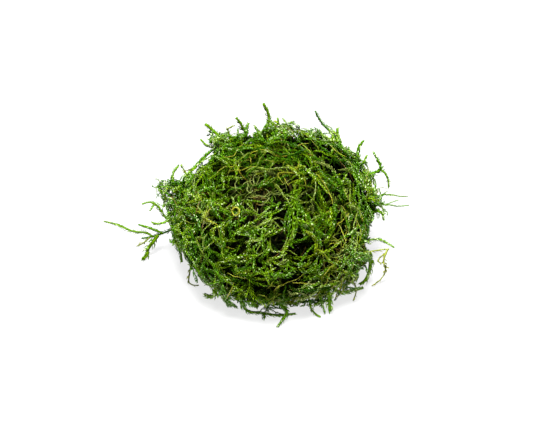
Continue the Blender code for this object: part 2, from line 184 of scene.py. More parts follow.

# %% [markdown]
# Seen from the camera the clump has one particular ragged edge, with a few places where the light shines
# through. Shoots that grow by chance would blur it. So the edge is a line drawn round the clump, the
# shining places are circles, and a shoot simply ends where it would cross into the open.
# All of them are places in the picture, in pixels from its upper left corner, and a circle has a radius too.

# %% The clump's edge in the picture
BODY_EDGE = [
    (187, 260), (183, 254), (178, 249), (174, 243), (171, 234), (170, 226), (166, 220), (163, 214),
    (157, 207), (155, 200), (157, 194), (156, 188), (158, 182), (161, 180), (166, 179), (169, 176),
    (173, 178), (176, 181), (181, 181), (182, 175), (186, 174), (189, 173), (193, 174.5), (196, 171),
    (199, 166.5), (204, 164.5), (208, 165), (211, 161), (213, 156), (213, 149), (211, 144), (208, 140),
    (207, 134), (210, 131), (215, 131), (219, 136), (223, 132), (228, 130), (231, 134), (236, 134),
    (238, 130), (241, 131), (242, 136), (245, 134), (247, 130), (249, 138), (252, 139), (255, 133),
    (258, 131), (262, 132), (264, 127), (267, 122), (272, 121), (277, 121), (280, 124), (283, 122),
    (286, 123), (290, 122), (296, 124), (299, 127), (303, 128), (307, 129), (311, 129), (315, 128),
    (318, 130), (322, 130), (325, 133), (329, 132), (333, 130), (336, 127), (338, 131), (338, 138),
    (340, 143), (343, 147), (348, 148), (352, 152), (356, 153), (360, 157), (364, 161), (367, 164),
    (370, 170), (373, 174), (374, 181), (377, 187), (381, 189), (383, 194), (387, 197), (389, 202),
    (388, 208), (384, 214), (380, 217), (375, 220), (371, 221), (371, 232), (368, 236), (366, 241),
    (364, 247), (368, 250), (371, 255), (368, 261), (363, 266), (358, 271), (357, 277), (355, 283),
    (351, 288), (346, 291), (340, 295), (335, 299), (331, 302), (326, 304), (321, 307), (314, 306),
    (309, 305), (298, 305), (288, 306), (278, 308), (266, 306), (261, 304), (256, 302), (251, 300),
    (246, 298), (240, 298), (236, 303), (232, 308), (227, 305), (222, 300), (219, 294), (213, 288),
    (206, 285), (201, 278), (196, 272), (191, 266),
]
SHINING_THROUGH = [
    (179, 177, 4.2), (161, 198, 2.2), (163, 210, 2.6), (165, 186, 1.2), (182, 186, 1.2), (176, 195, 1.5),
    (169, 198, 1.4), (171, 210, 1.3), (173, 217, 1.2), (173, 191, 1.0), (344, 178, 1.7), (348, 179, 1.3),
    (347, 185, 1.0), (342, 189, 1.2), (367, 166, 1.4), (367.5, 178.5, 1.6), (376, 190, 1.0),
    (329, 136.5, 1.6), (267, 127.5, 1.6), (310, 142, 1.2), (315, 151, 1.0),
]


def in_picture(points):
    """Where these places show in the picture, in pixels."""
    away = points - camera_place
    cos = math.cos(LOOK_DOWN)
    sin = math.sin(LOOK_DOWN)
    ahead = away[:, 1] * cos - away[:, 2] * sin
    up = away[:, 1] * sin + away[:, 2] * cos
    right = PICTURE_WIDTH / 2 + LENS_PIXELS * away[:, 0] / ahead
    return np.stack([right, PICTURE_HEIGHT / 2 - LENS_PIXELS * up / ahead], 1)


def in_the_open(pixels):
    """True for what shows outside the clump's edge or in a place where the light shines through."""
    x, y = pixels.T
    inside = np.zeros(len(pixels), dtype=bool)
    for (x1, y1), (x2, y2) in zip(BODY_EDGE, BODY_EDGE[1:] + BODY_EDGE[:1]):
        if y1 != y2:
            inside ^= ((y1 > y) != (y2 > y)) & (x < x1 + (x2 - x1) * (y - y1) / (y2 - y1))
    for middle_x, middle_y, radius in SHINING_THROUGH:
        inside &= (x - middle_x) ** 2 + (y - middle_y) ** 2 > radius ** 2
    return ~inside


print("the edge has", len(BODY_EDGE), "corners and", len(SHINING_THROUGH), "places let light through")

# %% [markdown]
# Between the shoots are gaps through which the clump's dark inside shows. Light hardly reaches it, and the
# leaves there are old and brown. A gap is a place and a width: few shoots cross it, and what lies in it gets
# painted shade. The gaps that the picture shows are given in pixels, with their widths in millimetres. The
# unseen sides get theirs by chance, and so do small pockets all over, so that no patch is evenly bright.

# %% The dark gaps
SEEN_GAPS = {
    "wide": [(276, 242, 3.6), (288, 243, 3.8), (303, 246, 3.8), (233, 240, 3.6), (225, 230, 1.8)],
    "low": [
        (255, 284, 3.2), (265, 290, 3.2), (285, 296, 2.6), (212, 275, 2.0), (322, 269, 2.4), (236, 265, 2.2),
    ],
    "right": [
        (340, 228, 2.8), (328, 222, 2.6), (346, 206, 2.4), (333, 166, 1.9), (309, 191, 2.0), (340, 248, 2.4),
    ],
    "crown": [
        (262, 157, 2.0), (281, 159, 1.8), (298, 159, 2.0), (247, 184, 2.0), (222, 176, 1.8), (290, 143, 1.4),
    ],
    "middle crown": [(264, 164, 1.5), (246, 155, 1.6), (308, 158, 1.7), (242, 170, 1.5), (304, 188, 1.7)],
    "middle right": [(280, 190, 1.6), (292, 204, 1.9), (285, 214, 2.0), (297, 222, 1.8), (312, 212, 1.8)],
    "fibres": [
        (249, 188, 2.6), (262, 195, 2.4), (243, 198, 2.2), (258, 182, 2.2), (240, 180, 2.0), (271, 195, 2.0),
    ],
    "more fibres": [(256, 200, 2.0), (267, 186, 2.0), (248, 207, 1.8), (264, 204, 1.8), (232, 192, 1.8)],
    "middle": [(275, 222, 2.2), (266, 205, 2.2), (253, 206, 2.0), (221, 197, 1.4), (246, 196, 2.0)],
    "left": [
        (195, 218, 1.8), (202, 234, 1.8), (186, 242, 1.6), (218, 262, 2.0), (295, 176, 1.8), (316, 204, 2.0),
    ],
}
UNSEEN_GAPS = 40
HIGHEST_UNSEEN_GAP = 0.45
UNSEEN_WIDTHS = (2.0, 3.6)
POCKETS = 110
POCKET_SCATTER = 0.06
LOWEST_POCKET = 0.05
POCKET_WIDTHS = (1.0, 1.9)


def even_directions(count):
    """Directions spread evenly, as the seeds of a sunflower are."""
    index = np.arange(count)
    height = 1 - (2 * index + 1) / count
    turn = index * math.pi * (3 - math.sqrt(5))
    flat = np.sqrt(1 - height ** 2)
    return np.stack([flat * np.cos(turn), flat * np.sin(turn), height], 1)


def out_of_sight(points):
    """True where the clump turns away from the camera."""
    return ((points - MIDDLE) * (camera_place - MIDDLE)).sum(1) < 0


seen = np.array([gap for group in SEEN_GAPS.values() for gap in group], dtype=float)
unseen_directions = even_directions(UNSEEN_GAPS * 2)
unseen = below_surface(unseen_directions, 0)
unseen = unseen[out_of_sight(unseen) & (unseen_directions[:, 2] < HIGHEST_UNSEEN_GAP)]
scatter = chance.normal(0, POCKET_SCATTER, (POCKETS * 2, 3))
pocket_directions = unit(even_directions(POCKETS * 2) + scatter)
pocket_directions = pocket_directions[pocket_directions[:, 2] > LOWEST_POCKET]
pockets = below_surface(pocket_directions, 0)
gap_places = np.concatenate([laid_on_clump(seen[:, :2], 0), unseen, pockets])
unseen_widths = chance.uniform(*UNSEEN_WIDTHS, len(unseen))
pocket_widths = chance.uniform(*POCKET_WIDTHS, len(pockets))
gap_widths = np.concatenate([seen[:, 2], unseen_widths, pocket_widths])


def gap_share(points):
    """How far into a dark gap each point lies: 1 in its middle, 0 well outside it."""
    away = np.linalg.norm(points[:, None] - gap_places[None], axis=2)
    return np.exp(-(away / gap_widths) ** 2).max(1)


print(len(seen), "gaps placed by eye,", len(unseen), "by chance and", len(pockets), "small pockets")

# %% [markdown]
# Every moss colour is one material. It reads two numbers that each leaf carries on its UV map: its tone,
# from dark green through yellow-green to pale and then to bare yellow and brown stems, and its light number,
# which paints light and shade: from the black-green of old leaves deep inside, in painted shade, to the
# fresh outer ones in painted light.
# Each tone could have a material of its own, but one strand then couldn't fade into another, and the export
# bakes a piece with a single map far more cleanly.
# Maths between sockets is written as plain expressions, so a small class gives them Python's operators.

# %% Sockets as expressions
class Wire:
    """A node's output. Python's own operators on it add Math nodes."""

    def __init__(self, finish, socket):
        self.finish = finish
        self.socket = socket

    def maths(self, operation, first, second):
        return self.finish.node("ShaderNodeMath", {"operation": operation}, {0: first, 1: second})

    def __add__(self, other):
        return self.maths("ADD", self, other)

    def __mul__(self, other):
        return self.maths("MULTIPLY", self, other)

    __radd__ = __add__
    __rmul__ = __mul__


class Finish:
    """A material, and the method that adds a node to it."""

    def __init__(self, name):
        self.material = bpy.data.materials.new(name)
        self.material.use_nodes = True
        self.tree = self.material.node_tree
        self.shader = self.tree.nodes["Principled BSDF"]

    def fill(self, socket, value):
        """Links a wire to a socket, or sets its value."""
        if isinstance(value, Wire):
            self.tree.links.new(value.socket, socket)
        else:
            socket.default_value = value

    def node(self, kind, settings=None, sockets=None, output=0):
        """Adds a node with its settings first and then its sockets, and returns one of its outputs."""
        made = self.tree.nodes.new(kind)
        for name, value in (settings or {}).items():
            if name == "stops":
                self.set_stops(made.color_ramp, value)
            else:
                setattr(made, name, value)
        for name, value in (sockets or {}).items():
            self.fill(made.inputs[name], value)
        return Wire(self, made.outputs[output])

    def set_stops(self, ramp, stops):
        """Gives a ramp these stops and no others."""
        while len(ramp.elements) > 1:
            ramp.elements.remove(ramp.elements[-1])
        for index, (place, colour) in enumerate(stops):
            stop = ramp.elements[0] if index == 0 else ramp.elements.new(place)
            stop.position = place
            stop.color = (*colour, 1)

    def mixed(self, factor, first, second, blend="MIX"):
        """One colour faded into another."""
        settings = {"data_type": "RGBA", "blend_type": blend}
        return self.node("ShaderNodeMix", settings, {0: factor, 6: first, 7: second}, 2)

    def wear(self, **sockets):
        """Sets or links the shader's own sockets."""
        for name, value in sockets.items():
            self.fill(self.shader.inputs[name.replace("_", " ")], value)
        return self.material


def shade(red, green, blue):
    """A colour as a painter's palette gives it, from 0 to 255, in the light values that Blender uses."""
    values = np.array([red, green, blue]) / 255
    return tuple(np.where(values > 0.04045, ((values + 0.055) / 1.055) ** 2.4, values / 12.92))


# %% [markdown]
# The two ramps cover the same tones, once as fresh leaves in the light and once in painted shade, as old
# ones in the dark. The leaf's light number fades between them, and its top end, which only a few leaves
# have, turns pale: a painted glint, standing for the thin leaf tips that light shines through. A fine
# speckle on the map makes one leaf a little darker or brighter than the next.
# Fresh moss leaves are smooth and wet enough to shine, and old ones are dry. So the gloss is a clear coat
# over a matt leaf, and the light number says how much of it there is.

# %% The moss finish
STEM_TONE = 0.80
# The first ramp holds the tones in light, the second the same tones in painted shade.
LIT_FRESH_TONES = [
    (0.00, shade(46, 108, 2)),
    (0.20, shade(94, 154, 4)),
    (0.40, shade(148, 188, 12)),
    (0.52, shade(172, 194, 30)),
    (0.62, shade(148, 182, 52)),
    (0.78, shade(186, 200, 108)),
    (STEM_TONE, shade(104, 118, 20)),
    (0.86, shade(146, 160, 48)),
    (0.91, shade(200, 200, 48)),
    (0.93, shade(196, 192, 44)),
    (0.96, shade(120, 94, 40)),
    (1.00, shade(72, 50, 24)),
]
SHADED_OLD_TONES = [
    (0.00, shade(5, 12, 0)),
    (0.40, shade(10, 18, 0)),
    (0.60, shade(16, 18, 3)),
    (0.78, shade(22, 22, 10)),
    (0.92, shade(26, 22, 6)),
    (1.00, shade(14, 9, 4)),
]
# Painted glint: the pale colour that leaf tips turn to at the top of the light number.
PAINTED_GLINT_COLOUR = shade(228, 238, 186)
PAINTED_GLINT_FROM = 0.86
PAINTED_GLINT_FULL = 0.99
SPECKLE_SCALE = 90
SPECKLE_DETAIL = 2
DARK_SPECKLE = 0.55
BRIGHT_SPECKLE = 1.4
LEAF_ROUGHNESS = 0.9
DRY_GLOSS = 0.02
GLOSS_FROM = 0.42
GLOSS_FULL = 1.0
COAT_ROUGHNESS = 0.28
MOST_COAT = 0.8


def moss_finish():
    """The finish of all living shoots, driven by the two numbers on their map."""
    finish = Finish("moss")
    place = finish.node("ShaderNodeUVMap", {"uv_map": "OFBake"})
    tone = finish.node("ShaderNodeSeparateXYZ", None, {0: place}, 0)
    light = finish.node("ShaderNodeSeparateXYZ", None, {0: place}, 1)
    fresh = finish.node("ShaderNodeValToRGB", {"stops": LIT_FRESH_TONES}, {0: tone})
    old = finish.node("ShaderNodeValToRGB", {"stops": SHADED_OLD_TONES}, {0: tone})
    # The light number fades from the tones in painted shade to the lit ones.
    lit = finish.mixed(light, old, fresh)
    # Near the top of the light number the leaf turns pale, a painted glint.
    painted_glint_stops = [(PAINTED_GLINT_FROM, (0, 0, 0)), (PAINTED_GLINT_FULL, (1, 1, 1))]
    share = finish.node("ShaderNodeValToRGB", {"stops": painted_glint_stops}, {0: light})
    plain = finish.mixed(share, lit, (*PAINTED_GLINT_COLOUR, 1))
    noise = {"Vector": place, "Scale": SPECKLE_SCALE, "Detail": SPECKLE_DETAIL}
    speckle = finish.node("ShaderNodeTexNoise", {"noise_dimensions": "2D"}, noise)
    strength = DARK_SPECKLE + (BRIGHT_SPECKLE - DARK_SPECKLE) * speckle
    colour = finish.mixed(1.0, plain, strength, "MULTIPLY")
    finish.wear(Base_Color=colour, Roughness=LEAF_ROUGHNESS, Specular_IOR_Level=DRY_GLOSS)
    share_of_light = {0: light, 1: GLOSS_FROM, 2: GLOSS_FULL, 3: 0.0, 4: MOST_COAT}
    gloss = finish.node("ShaderNodeMapRange", None, share_of_light)
    return finish.wear(Coat_Weight=gloss, Coat_Roughness=COAT_ROUGHNESS)


moss = moss_finish()
print("the moss finish has", len(moss.node_tree.nodes), "nodes")

# %% [markdown]
# The old stems inside the clump are dead: dry and matt. Their tones run from nearly black, painted shade
# where no light reaches, to the dark brown of a few of them. They need no light number, because the shade
# is already in their tones, so their finish is a ramp of tones and nothing else.

# %% The old stems' finish
DEAD_ROUGHNESS = 0.95
# Near black is painted shade; the brown end is the dead stems' own colour.
DEAD_AND_SHADED = [
    (0.0, shade(3, 6, 1)),
    (0.5, shade(9, 14, 3)),
    (0.8, shade(26, 28, 9)),
    (1.0, shade(60, 48, 24)),
]


def old_stem_finish():
    """The finish of the dead stems inside, in painted shade, driven by the tone on their map."""
    finish = Finish("old stems")
    place = finish.node("ShaderNodeUVMap", {"uv_map": "OFBake"})
    tone = finish.node("ShaderNodeSeparateXYZ", None, {0: place}, 0)
    colour = finish.node("ShaderNodeValToRGB", {"stops": DEAD_AND_SHADED}, {0: tone})
    return finish.wear(Base_Color=colour, Roughness=DEAD_ROUGHNESS, Specular_IOR_Level=DRY_GLOSS)


old_moss = old_stem_finish()
print("the old stems' finish has", len(old_moss.node_tree.nodes), "nodes")

# %% [markdown]
# One leaf is a long pointed scale, about a millimetre and a half long, broadest before its middle and hollow
# above like a small boat. A flat card of two triangles would do from afar, but it has no thickness, so it
# would be dark from its back. A cone with three sides has just the four points that the smallest closed leaf
# needs: its foot, its two edges and its tip. Edit mode moves them to their places.
# The leaf is modelled one unit long, and each copy is then given its own length.

# %% One leaf
LEAF_HALF_WIDTH = 0.175
LEAF_BROADEST = 0.4
LEAF_RISE = 0.1
OFF_AXIS = 0.05


def move_points(piece, wanted, step):
    """Moves the points for which wanted(place) is true, in edit mode."""
    bpy.ops.object.mode_set(mode="EDIT")
    bpy.ops.mesh.select_mode(type="VERT")
    bpy.ops.mesh.select_all(action="DESELECT")
    bpy.ops.object.mode_set(mode="OBJECT")
    for point in piece.data.vertices:
        point.select = wanted(point.co)
    bpy.ops.object.mode_set(mode="EDIT")
    bpy.ops.transform.translate(value=step)
    bpy.ops.object.mode_set(mode="OBJECT")


def model_leaf():
    """A leaf as points and triangles: across it is x, along it is y and out of it is z."""
    bpy.ops.object.select_all(action="DESELECT")
    bpy.ops.mesh.primitive_cone_add(
        vertices=3, radius1=LEAF_HALF_WIDTH, depth=1 - LEAF_BROADEST, end_fill_type="NGON",
        rotation=(-math.pi / 2, 0, 0), location=(0, (1 + LEAF_BROADEST) / 2, 0),
    )
    leaf = bpy.context.object
    bpy.ops.object.transform_apply(location=True, rotation=True, scale=True)
    widen = LEAF_HALF_WIDTH * (1 - math.cos(math.pi / 6))
    lift = LEAF_RISE - LEAF_HALF_WIDTH / 2
    move_points(leaf, lambda co: co.z < -OFF_AXIS, (0, -LEAF_BROADEST, LEAF_HALF_WIDTH))
    move_points(leaf, lambda co: co.z > OFF_AXIS and co.x < 0, (-widen, 0, lift))
    move_points(leaf, lambda co: co.z > OFF_AXIS and co.x > 0, (widen, 0, lift))
    points = np.array([point.co for point in leaf.data.vertices])
    faces = np.array([face.vertices[:] for face in leaf.data.polygons])
    bpy.data.objects.remove(leaf)
    return points, faces


leaf_points, leaf_faces = model_leaf()
print("one leaf has", len(leaf_points), "points and", len(leaf_faces), "triangles")

# %% [markdown]
# A bundle of shoots is kept as numbers before it becomes mesh: the places that each shoot passes, a step
# apart, how many steps long it is, how thick it is, its tone and how fresh it is. Whatever makes the routes,
# growth or a drawn line, the same two functions then clothe them, so all shoots match.

# %% A bundle of shoots
STEP = 0.9
EDGE_SHIFT = 1.2
FEWEST_STEPS = 3


class Shoots:
    """The routes of many shoots, places[step, shoot], and what each of them looks like."""

    def __init__(self, places, steps, girth, tone, fresh):
        count = places.shape[1]
        self.places = places
        self.steps = np.broadcast_to(steps, count)
        self.girth = np.broadcast_to(girth, count)
        self.tone = np.broadcast_to(tone, count)
        self.fresh = np.broadcast_to(fresh, count)

    def __len__(self):
        return self.places.shape[1]

    def only(self, which):
        """The chosen shoots as a bundle of their own."""
        return Shoots(
            self.places[:, which], self.steps[which], self.girth[which], self.tone[which], self.fresh[which]
        )

    def at(self, number, spacing):
        """Points one spacing apart on every shoot: its number, the count, how far along, place, heading."""
        shoot = np.repeat(np.arange(len(self)), number)
        index = np.arange(len(shoot)) - np.repeat(np.cumsum(number) - number, number)
        far = np.minimum(index * spacing[shoot] / STEP, self.steps[shoot] - 1e-6)
        low = far.astype(int)
        part = (far - low)[:, None]
        after = np.minimum(low + 2, self.steps[shoot])
        here = self.places[low, shoot]
        there = self.places[low + 1, shoot]
        heading = unit((there - here) * (1 - part) + (self.places[after, shoot] - here) / 2 * part)
        return shoot, index, far / self.steps[shoot], here * (1 - part) + there * part, heading


def turned(vectors, axes, angles):
    """Each vector turned about its own axis."""
    cos = np.cos(angles)[:, None]
    sin = np.sin(angles)[:, None]
    along = (vectors * axes).sum(1, keepdims=True)
    return vectors * cos + np.cross(axes, vectors) * sin + axes * along * (1 - cos)


def square_to(point, heading):
    """Two directions square to each heading: one level with the clump's surface, one pointing out of it."""
    side = unit(np.cross(heading, unit(point - MIDDLE)))
    return side, np.cross(side, heading)


def cut_at_edge(shoots):
    """The shoots, each ended where it would cross into the open, without those that are too short then."""
    count = shoots.places.shape[0]
    pixels = in_picture(shoots.places.reshape(-1, 3)).reshape(count, -1, 2)
    pixels = pixels + chance.normal(0, EDGE_SHIFT, (1, pixels.shape[1], 2))
    out = in_the_open(pixels.reshape(-1, 2)).reshape(count, -1)
    first_out = np.where(out.any(0), out.argmax(0), count)
    steps = np.minimum(shoots.steps, first_out - 1)
    cut = Shoots(shoots.places, steps, shoots.girth, shoots.tone, shoots.fresh)
    return cut.only(np.flatnonzero(steps >= FEWEST_STEPS))


print("routes have a point every", STEP, "mm")

# %% [markdown]
# How light a leaf is painted falls with its depth in the clump, in a gap and on the underside: painted shade
# where little light reaches, which also stands for the darker old growth inside. It also gets painted light
# and shade from patch to patch, lighter on the rims, lobes and feet and darker over the front's middle and
# hollows. Those patches are given as a place, a width, and how much lighter or darker it is.

# %% Painted daylight and shade
LIT_HEIGHT = 0.8
DARK_DEPTH = 3.6
DIMMING = 1.3
GAP_SHADE = 0.85
DOWN_FROM = 0.3
DOWN_MOST = 0.5
DOWN_HEIGHT = 2.0
DOWN_SHADE = 1.3
# Patches of painted light and shade: lighter on the rims, lobes and feet, darker over the front's middle and
# hollows.
PAINTED_LIGHT_PATCHES = {
    "crown rim": ((4, 27, 48), 12, 0.3),
    "crown right rim": ((26, 22, 42), 10, 0.5),
    "crown left rim": ((-24, 24, 41), 9, 0.4),
    "left shoulder": ((-28, 14, 37), 9, 0.35),
    "right shoulder": ((32, 12, 34), 9, 0.4),
    "left lobe": ((-38, 6, 27), 11, 0.55),
    "right lobe": ((38, 0, 22), 10, 0.35),
    "right foot": ((27, -20, 6), 10, 0.6),
    "left foot": ((-20, -22, 6), 9, 0.45),
    "right brow": ((22, -22, 24), 8, 0.2),
    "right front": ((27, -21, 25), 7, 0.3),
    "upper front": ((-8, -4, 48), 14, -0.42),
    "right upper front": ((18, 3, 46), 8, -0.36),
    "middle front": ((10, -18, 40), 11, -0.46),
    "left of the middle": ((-14, -20, 38), 9, -0.2),
    "right of the middle": ((17, -24, 31), 7, -0.32),
    "left hollow": ((-21, -26, 28), 7, -0.5),
    "under the middle": ((-3, -34, 25), 7, -0.4),
    "low in the middle": ((-3, -32, 34), 6, -0.25),
    "lower front": ((0, -33, 14), 7, -0.4),
    "left of the low front": ((-13, -30, 15), 6, 0.4),
}


def patch_light(points):
    """How much lighter or darker the colour is painted round here: above 1 in painted light, below 1 in
    painted shade.
    """
    share = np.ones(len(points))
    for place, spread, change in PAINTED_LIGHT_PATCHES.values():
        share += change * np.exp(-(((points - place) / spread) ** 2).sum(1))
    return share


def painted_daylight(points):
    """The painted light at each place: 1 above the clump, 0 deep in it or in a gap, which is painted shade.
    """
    depth = depth_of(points)
    # Deeper in the clump the colour gets painted shade.
    sunk = np.clip((depth + LIT_HEIGHT) / DARK_DEPTH, 0, 1)
    # Painted shade where the clump faces the ground.
    downwards = np.clip(-unit(points - MIDDLE)[:, 2] - DOWN_FROM, 0, DOWN_MOST)
    downwards = downwards * np.clip(1 + depth / DOWN_HEIGHT, 0, 1)
    # Painted shade deep in the clump and in the dark gaps.
    light = (1 - sunk) ** DIMMING * (1 - GAP_SHADE * gap_share(points))
    return light * (1 - DOWN_SHADE * downwards) * patch_light(points)


print(len(PAINTED_LIGHT_PATCHES), "patches are younger or older than the rest")

# %% [markdown]
# Each leaf's colour is two numbers at each of its points. The tone is its shoot's, with small changes along
# the shoot and from leaf to leaf. The light number is the shoot's freshness times the painted daylight where
# the leaf sits. It is painted low at the leaf's foot, as shade, and high at its tip, as a highlight, and
# higher on the shoot's upper side, as painted top light. Where there is much light, many a stretch of a
# shoot gets painted glints, and the tips of most leaves there turn pale.

# %% The leaves' places on the map
LOWEST_TONE = 0.02
LEAFY_TONE_END = 0.76
STEM_TONE_END = 0.97
TONE_ALONG = 0.05
TONE_TURN = 0.4
LEAF_TONE_SCATTER = 0.025
TONE_ACROSS = 0.03
FRESH_ALONG = 0.22
LEAF_CHANGE = (0.55, 1.5)
PAINTED_TOP_LIGHT = 0.35
PAINTED_FOOT_LIGHT = 0.24
PAINTED_TIP_LIGHT = 1.85
PAINTED_GLINT_STRETCHES = 15
PAINTED_GLINT_SHARE = 0.78
PAINTED_GLINT_LEAVES = 0.75
PAINTED_GLINT_STRENGTHS = (0.25, 1)
PAINTED_GLINT_LIGHT = 0.2
BELOW_PAINTED_GLINT = 0.02
PAINTED_GLINT_REACH = 0.12
MAP_EDGE = 0.01


def map_of_leaves(shoots, shoot, along, point, away):
    """The tone and the light number of every point of these leaves."""
    count = len(shoot)
    highest = np.where(shoots.tone[shoot] < STEM_TONE, LEAFY_TONE_END, STEM_TONE_END)
    tone = shoots.tone[shoot] + TONE_ALONG * (along - TONE_TURN) + chance.normal(0, LEAF_TONE_SCATTER, count)
    tone = np.clip(tone, LOWEST_TONE, highest)
    fresh = shoots.fresh[shoot] + FRESH_ALONG * (along - 0.5)
    light = fresh * painted_daylight(point) * chance.uniform(*LEAF_CHANGE, count)
    # Painted top light: leaves on the shoot's upper side are painted lighter.
    light = light * (1 + PAINTED_TOP_LIGHT * away[:, 2])
    # Painted glints: on lit stretches of a shoot, most leaf tips are painted pale.
    glint = chance.random((len(shoots), PAINTED_GLINT_STRETCHES))[shoot, (along * (PAINTED_GLINT_STRETCHES - 1)).astype(int)]
    glinting = (glint < PAINTED_GLINT_SHARE * light) & (chance.random(count) < PAINTED_GLINT_LEAVES)
    strength = glinting * chance.uniform(*PAINTED_GLINT_STRENGTHS, count)
    brightest = PAINTED_GLINT_FROM - BELOW_PAINTED_GLINT + PAINTED_GLINT_REACH * strength
    # Painted shade at each leaf's foot and a painted highlight at its tip.
    shading = PAINTED_FOOT_LIGHT + (PAINTED_TIP_LIGHT - PAINTED_FOOT_LIGHT) * leaf_points[None, :, 1]
    light = light[:, None] * shading + PAINTED_GLINT_LIGHT * strength[:, None]
    places = np.zeros((count, len(leaf_points), 2))
    places[:, :, 0] = tone[:, None] + leaf_points[None, :, 0] * TONE_ACROSS
    places[:, :, 1] = np.minimum(light, brightest[:, None])
    return np.clip(places, MAP_EDGE, 1 - MAP_EDGE).reshape(-1, 2)


print("a leaf's tip is", round(PAINTED_TIP_LIGHT / PAINTED_FOOT_LIGHT, 1), "times as light as its foot")

# %% [markdown]
# Leaves sit on the stem in three ranks: one to its left, one to its right and one on its outer side. They
# open a little from the stem, less so near the tip, where they close to a bud. Each shoot opens them more or
# less widely, so some look like cords and others like feathers.
# Where a shoot lies so deep that no leaf would show it stays a bare cord, which saves many leaves.

# %% Leaves along the shoots
FULL_GIRTH = 0.64
LEAF_LENGTH = 2.7
LEAF_GAP = 0.68
FEWEST_LEAVES = 2
DEEPEST_LEAF = 3.8
RANKS = np.array([0, math.pi, math.pi / 2])
RANK_SCATTER = 0.35
LEAF_OPENING = 0.44
OPENING_OF_SHOOTS = (0.6, 1.5)
OPENING_OF_LEAVES = (0.6, 1.4)
CLOSING = 0.5
LEAF_FOOT = 0.3
LEAF_SIZES = (0.75, 1.25)
SMALLER_AT_TIP = 0.45
SIZE_AT_ROOT = 0.6
GROWTH_FROM_ROOT = 2.5


def leaves_on(shoots, spread=1.0, gap=LEAF_GAP, full_length=LEAF_LENGTH):
    """The leaves of all these shoots, as points, triangles and places on the map."""
    spacing = shoots.girth * gap
    number = np.maximum((shoots.steps * STEP / spacing).astype(int), FEWEST_LEAVES)
    shoot, index, along, point, heading = shoots.at(number, spacing)
    opening = spread * LEAF_OPENING * chance.uniform(*OPENING_OF_SHOOTS, len(shoots))[shoot]
    shown = depth_of(point) < DEEPEST_LEAF
    shoot, index, along, point, heading, opening = [
        values[shown] for values in (shoot, index, along, point, heading, opening)
    ]
    count = len(shoot)
    side, up = square_to(point, heading)
    turn = RANKS[index % len(RANKS)] + chance.normal(0, RANK_SCATTER, count)
    away = side * np.cos(turn)[:, None] + up * np.sin(turn)[:, None]
    angle = opening * (1 - CLOSING * along ** 3) * chance.uniform(*OPENING_OF_LEAVES, count)
    length = heading * np.cos(angle)[:, None] + away * np.sin(angle)[:, None]
    across = unit(np.cross(length, away))
    over = np.cross(across, length)
    taper = (1 - SMALLER_AT_TIP * along ** 4) * np.minimum(1, SIZE_AT_ROOT + GROWTH_FROM_ROOT * along)
    size = full_length * shoots.girth[shoot] * taper * chance.uniform(*LEAF_SIZES, count)
    foot = point + away * (LEAF_FOOT * shoots.girth[shoot] * taper)[:, None]
    points = foot[:, None] + size[:, None, None] * (
        across[:, None] * leaf_points[None, :, 0, None]
        + length[:, None] * leaf_points[None, :, 1, None]
        + over[:, None] * leaf_points[None, :, 2, None]
    )
    faces = leaf_faces[None] + (np.arange(count) * len(leaf_points))[:, None, None]
    places = map_of_leaves(shoots, shoot, along, point, away)
    return points.reshape(-1, 3), faces.reshape(-1, 3), places


print("a leaf is", round(LEAF_LENGTH * FULL_GIRTH, 2), "mm long on a full-grown shoot")

# %% [markdown]
# Under its leaves a shoot is a wire. On leafy shoots the wire and the feet of the leaves make one green
# cord, and on old ones it is bare, yellow, olive or brown. Three sides are enough for something thinner
# than a millimetre. It narrows towards its tip and is closed at both ends.
# Its map changes a little from side to side and along the skin, so that every triangle has room on it. Its
# light number is painted lower than the leaves', as shade under them, and higher on its upper side.

# %% Skins round the stems
SKIN_SHARE = 0.36
SKIN_SPACING = 1.25
SKIN_SIDES = 3
SKIN_NARROWING = 0.45
# The skin's light number is scaled down: painted shade on the cord under the leaves.
SKIN_PAINTED_LIGHT = 0.45
FEWEST_RINGS = 3
DARKEST_SKIN = 0.02
SKIN_BELOW_PAINTED_GLINT = 0.03
TONE_AROUND = 0.004
LIGHT_ALONG = 0.01
SKIN_MAP_EDGE = 0.005


